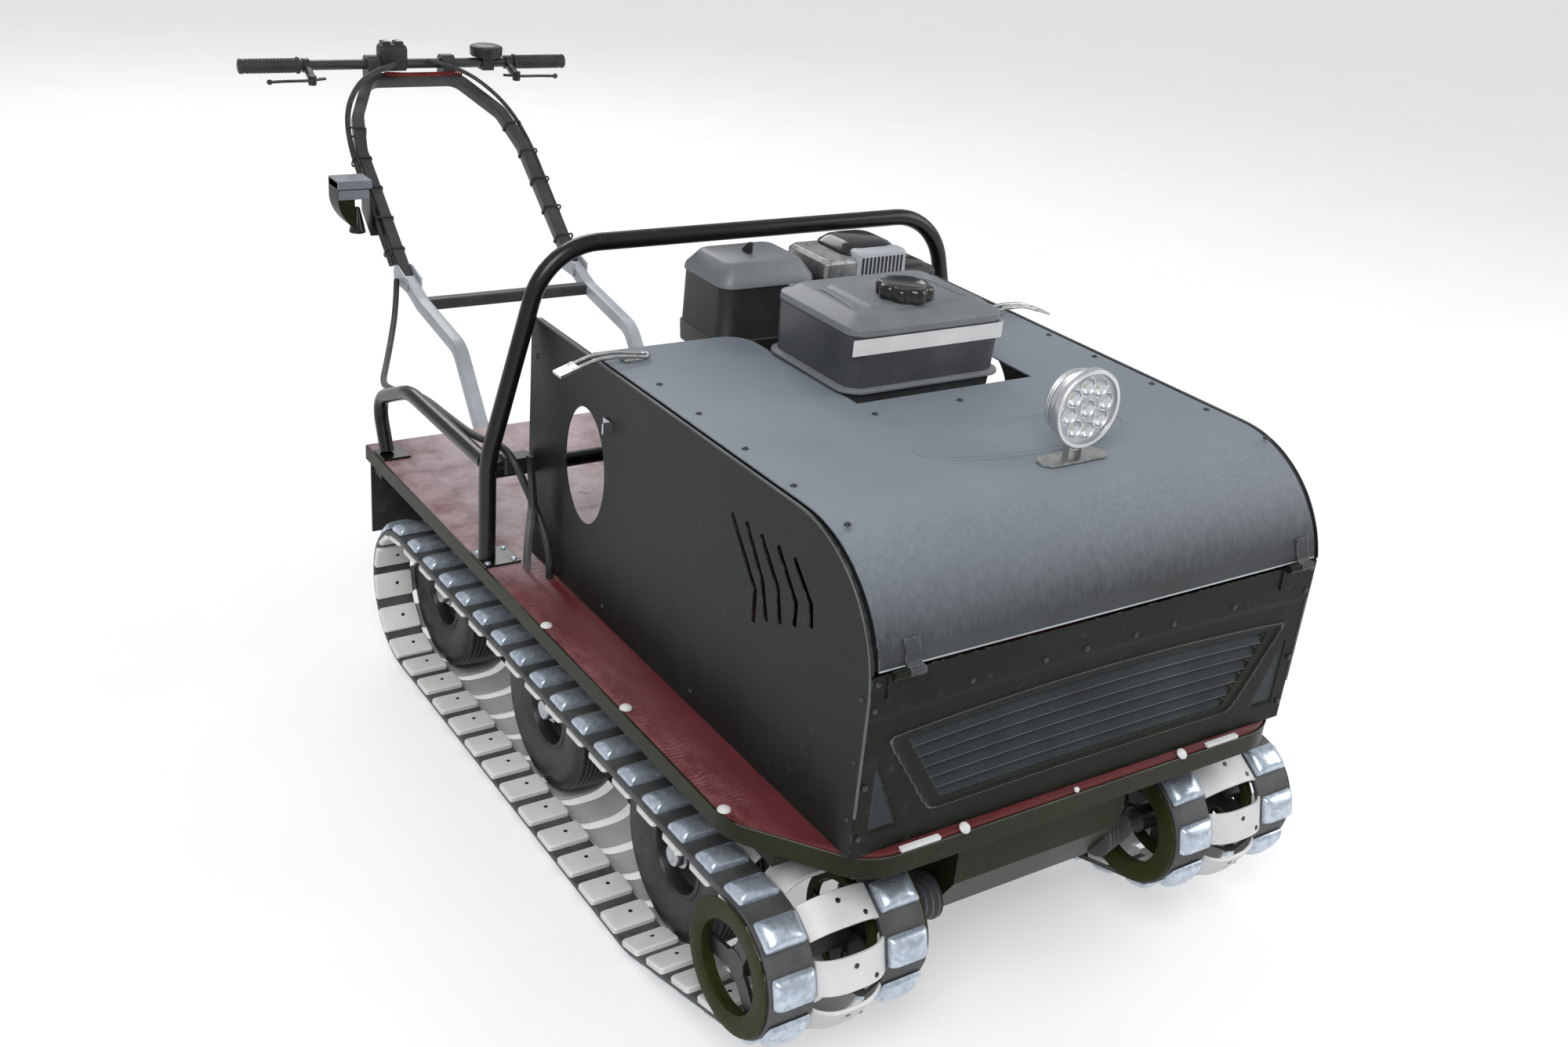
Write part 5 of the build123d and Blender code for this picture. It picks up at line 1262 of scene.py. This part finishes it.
def panel_depth(x, z):
    """How far the formed panel stands back from its plane, in mm."""
    outer, inner, corner, saw = panel_zone(x, z)
    blade = 1.0 + 7.6 * (saw / 0.80 if saw < 0.80 else 1 - ease((saw - 0.80) / 0.12))
    depth = 1.2 * ease(outer / 5) + blade * ease(inner / 2.5)
    depth -= 2.0 * math.exp(-((outer + 1.5) / 2.4) ** 2)
    depth += 2.8 * ease(corner / 2.5)
    depth += 1.3 * (1 - ease((z - panel_lines(x)[2] + 1.5) / 3))
    return depth


def panel_rows(x):
    """Heights of the mesh's rows at a place across, so that they follow the arched edges."""
    low, high, strip = panel_lines(x)
    start, end = low + 8, high - 8
    rows = [(low - 7) * step / 12 for step in range(13)]
    rows += [low + shift for shift in (-5, -3.5, -2.2, -1, 0.5, 2, 3.5, 5, 6.5)]
    rows += [start + (end - start) * (band + part) / LOUVRES for band in range(LOUVRES) for part in BAND_STEPS]
    rows += [end + shift for shift in (0, 1.2, 2.6, 4, 5.5, 7, 8.5, 10, 11.5, 13, 14.5)]
    rows += [strip + shift for shift in (-6, -1.5, -0.5, 0.5, 1.5)]
    rows += [strip + 1.5 + (PANEL_TOP - strip - 1.5) * step / 10 for step in range(1, 11)]
    return rows


verts, faces = [], []
for column in range(COLUMNS + 1):
    x = PANEL_HALF * (2 * column / COLUMNS - 1)
    rows = panel_rows(x)
    verts += [spot(x, panel_depth(x, z), z) for z in rows]
count = len(rows)
for column in range(COLUMNS):
    for row in range(count - 1):
        a = column * count + row
        faces.append((a, a + count, a + count + 1, a + 1))
formed = piece("formed_front", [(verts, faces)], "panel_paint", node="front_panel", angle=38)
# Painted light on the formed panel: its lit louvre faces and sunk corners take a paler bluish copy of its paint as
# painted sheen, and the recess rim and louvre edges take a pale painted highlight.
for finish in ("louvre_paint", "worn_edge"):
    formed.data.materials.append(MATERIALS[finish])
for face in formed.data.polygons:
    middle = face.center * 1000
    outer, inner, corner, saw = panel_zone(middle.x, middle.z - DECK_TOP)
    if -2.6 < outer < -0.9 or (inner > 1 and saw > 0.915):
        face.material_index = 2
    elif corner > 2.5 or (inner > 1.5 and saw < 0.775):
        face.material_index = 1
sheet_back = formed.modifiers.new("thickness", "SOLIDIFY")
sheet_back.thickness = 0.002
sheet_back.offset = -1

# Bright lips round the cover and the side panels, and tabs, bolts and a relay box on the deck.
cover_front = cover_low.y * 1000 - FRONT_Y
cover_bottom = cover_low.z * 1000 - DECK_TOP
lip_line = [spot(x, cover_front + 1.2, cover_bottom + 1.2) for x in (-366, 366)]
piece("cover_lip", [swept(lip_line, circle(1.5, 8), side=UPWARD)], "cap_light", "hood", angle=60)
PANEL_TURNS = [math.pi / 2 * (1 - i / 20) for i in range(21)]
lip_parts = []
for sign in SIDES:
    rise = [(172 - 170.5 * math.sin(turn), 218 + 170.8 * math.cos(turn)) for turn in PANEL_TURNS]
    edge = [spot(sign * 374.4, y, z) for y, z in ((1.5, 60), *rise, (530, 388.8), (898, 388.8))]
    lip_parts.append(swept(edge, circle(1.9, 8), side=(1, 0, 0)))
piece("side_lips", lip_parts, "side_lip", angle=60)
tabs = [box((x - 30, DECK_FRONT - 2, -3), (x + 30, DECK_FRONT + 6, 2)) for x in (-276, 250)]
piece("front_tabs", tabs, "drum_white", bevel=0.8)
front_bolts = []
for x, radius in ((-206, 8), (173, 8), (-20, 4)):
    dome = [(0, radius), (1, radius * 0.95), (2.8, radius * 0.7), (3.6, radius * 0.3)]
    front_bolts.append(discs_at(dome, 16, (0, -0.6, 0.8), spot(x, DECK_FRONT + 2, -0.5)))
piece("front_bolts", front_bolts, "drum_white")
relay = stack((-404, ROLL_Y), [(146, 24, 15, 4), (171, 24, 15, 4)])
piece("relay_box", [relay], "black_plastic", bevel=1.5)

# Latches: a bail of two rods with a loop end and a forked plate, from the cover out over each side.
LATCH_Y, ROD_GAP = 670.5, 8.5
rod = circle(2.9, 10)
bail_parts, plate_parts = [], []
for sign in SIDES:
    for shift in (-ROD_GAP, ROD_GAP):
        line = [(sign * x, LATCH_Y + shift, z) for x, z in ((312, 396.5), (352, 402), (388, 401), (424, 390))]
        bail_parts.append(swept(route(line, (60, 60), 6), rod, side=(0, 1, 0)))
    loop = [
        spot(sign * (312 - ROD_GAP * math.sin(turn)), LATCH_Y + ROD_GAP * math.cos(turn), 396.5)
        for turn in (math.pi * i / 8 for i in range(9))
    ]
    bail_parts.append(swept(loop, rod, side=UPWARD))
    plate = [(sign * x, z) for x, z in ((416, 395), (445, 385), (444, 381), (414, 391))]
    plate_parts.append(prism(plate, 658, 683, front_on))
    plate_parts.append(box((sign * 330 - 14, 661, 390.4), (sign * 330 + 14, 680, 394)))
    for y in (665, 676):
        plate_parts += screw(spot(sign * 330, y, 394), UPWARD, radius=3.4, height=1.8)
piece("latch_bails", bail_parts, "bail_metal", "hood", "latch_straps", angle=60)
piece("latch_plates", plate_parts, "bail_metal", "hood", bevel=0.7)

# Ribbed rubber boots on the half shafts, and domed bolts along the deck's sides.
_, boot_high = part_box("shaft_boots")
boot_profile = [(0.5, 14), (0.5, 33)]
for rib in range(6):
    base = 2 + rib * 9.6
    radius = 33.5 - rib * 2.2
    boot_profile += [(base, radius - 5), (base + 2.5, radius), (base + 5.5, radius), (base + 8, radius - 5)]
boot_profile += [(59.4, 20), (59.4, 12)]
boot_start = boot_high.x * 1000 - 60
boots = [
    discs_at(boot_profile, 36, (sign, 0, 0), spot(sign * boot_start, DRUM_Y, DRUM_Z)) for sign in SIDES
]
piece("ribbed_boots", boots, "grey_rubber", node="shaft_boots", angle=60)
bolt_dome = [(0, 9), (1.2, 8.8), (3.2, 7), (4.6, 3.6), (5, 1)]
deck_bolts = [
    discs_at(bolt_dome, 20, UPWARD, spot(sign * 456, y, 0.2)) for sign in SIDES for y in (153, 410, 657)
]
piece("deck_bolts", deck_bolts, "drum_white")
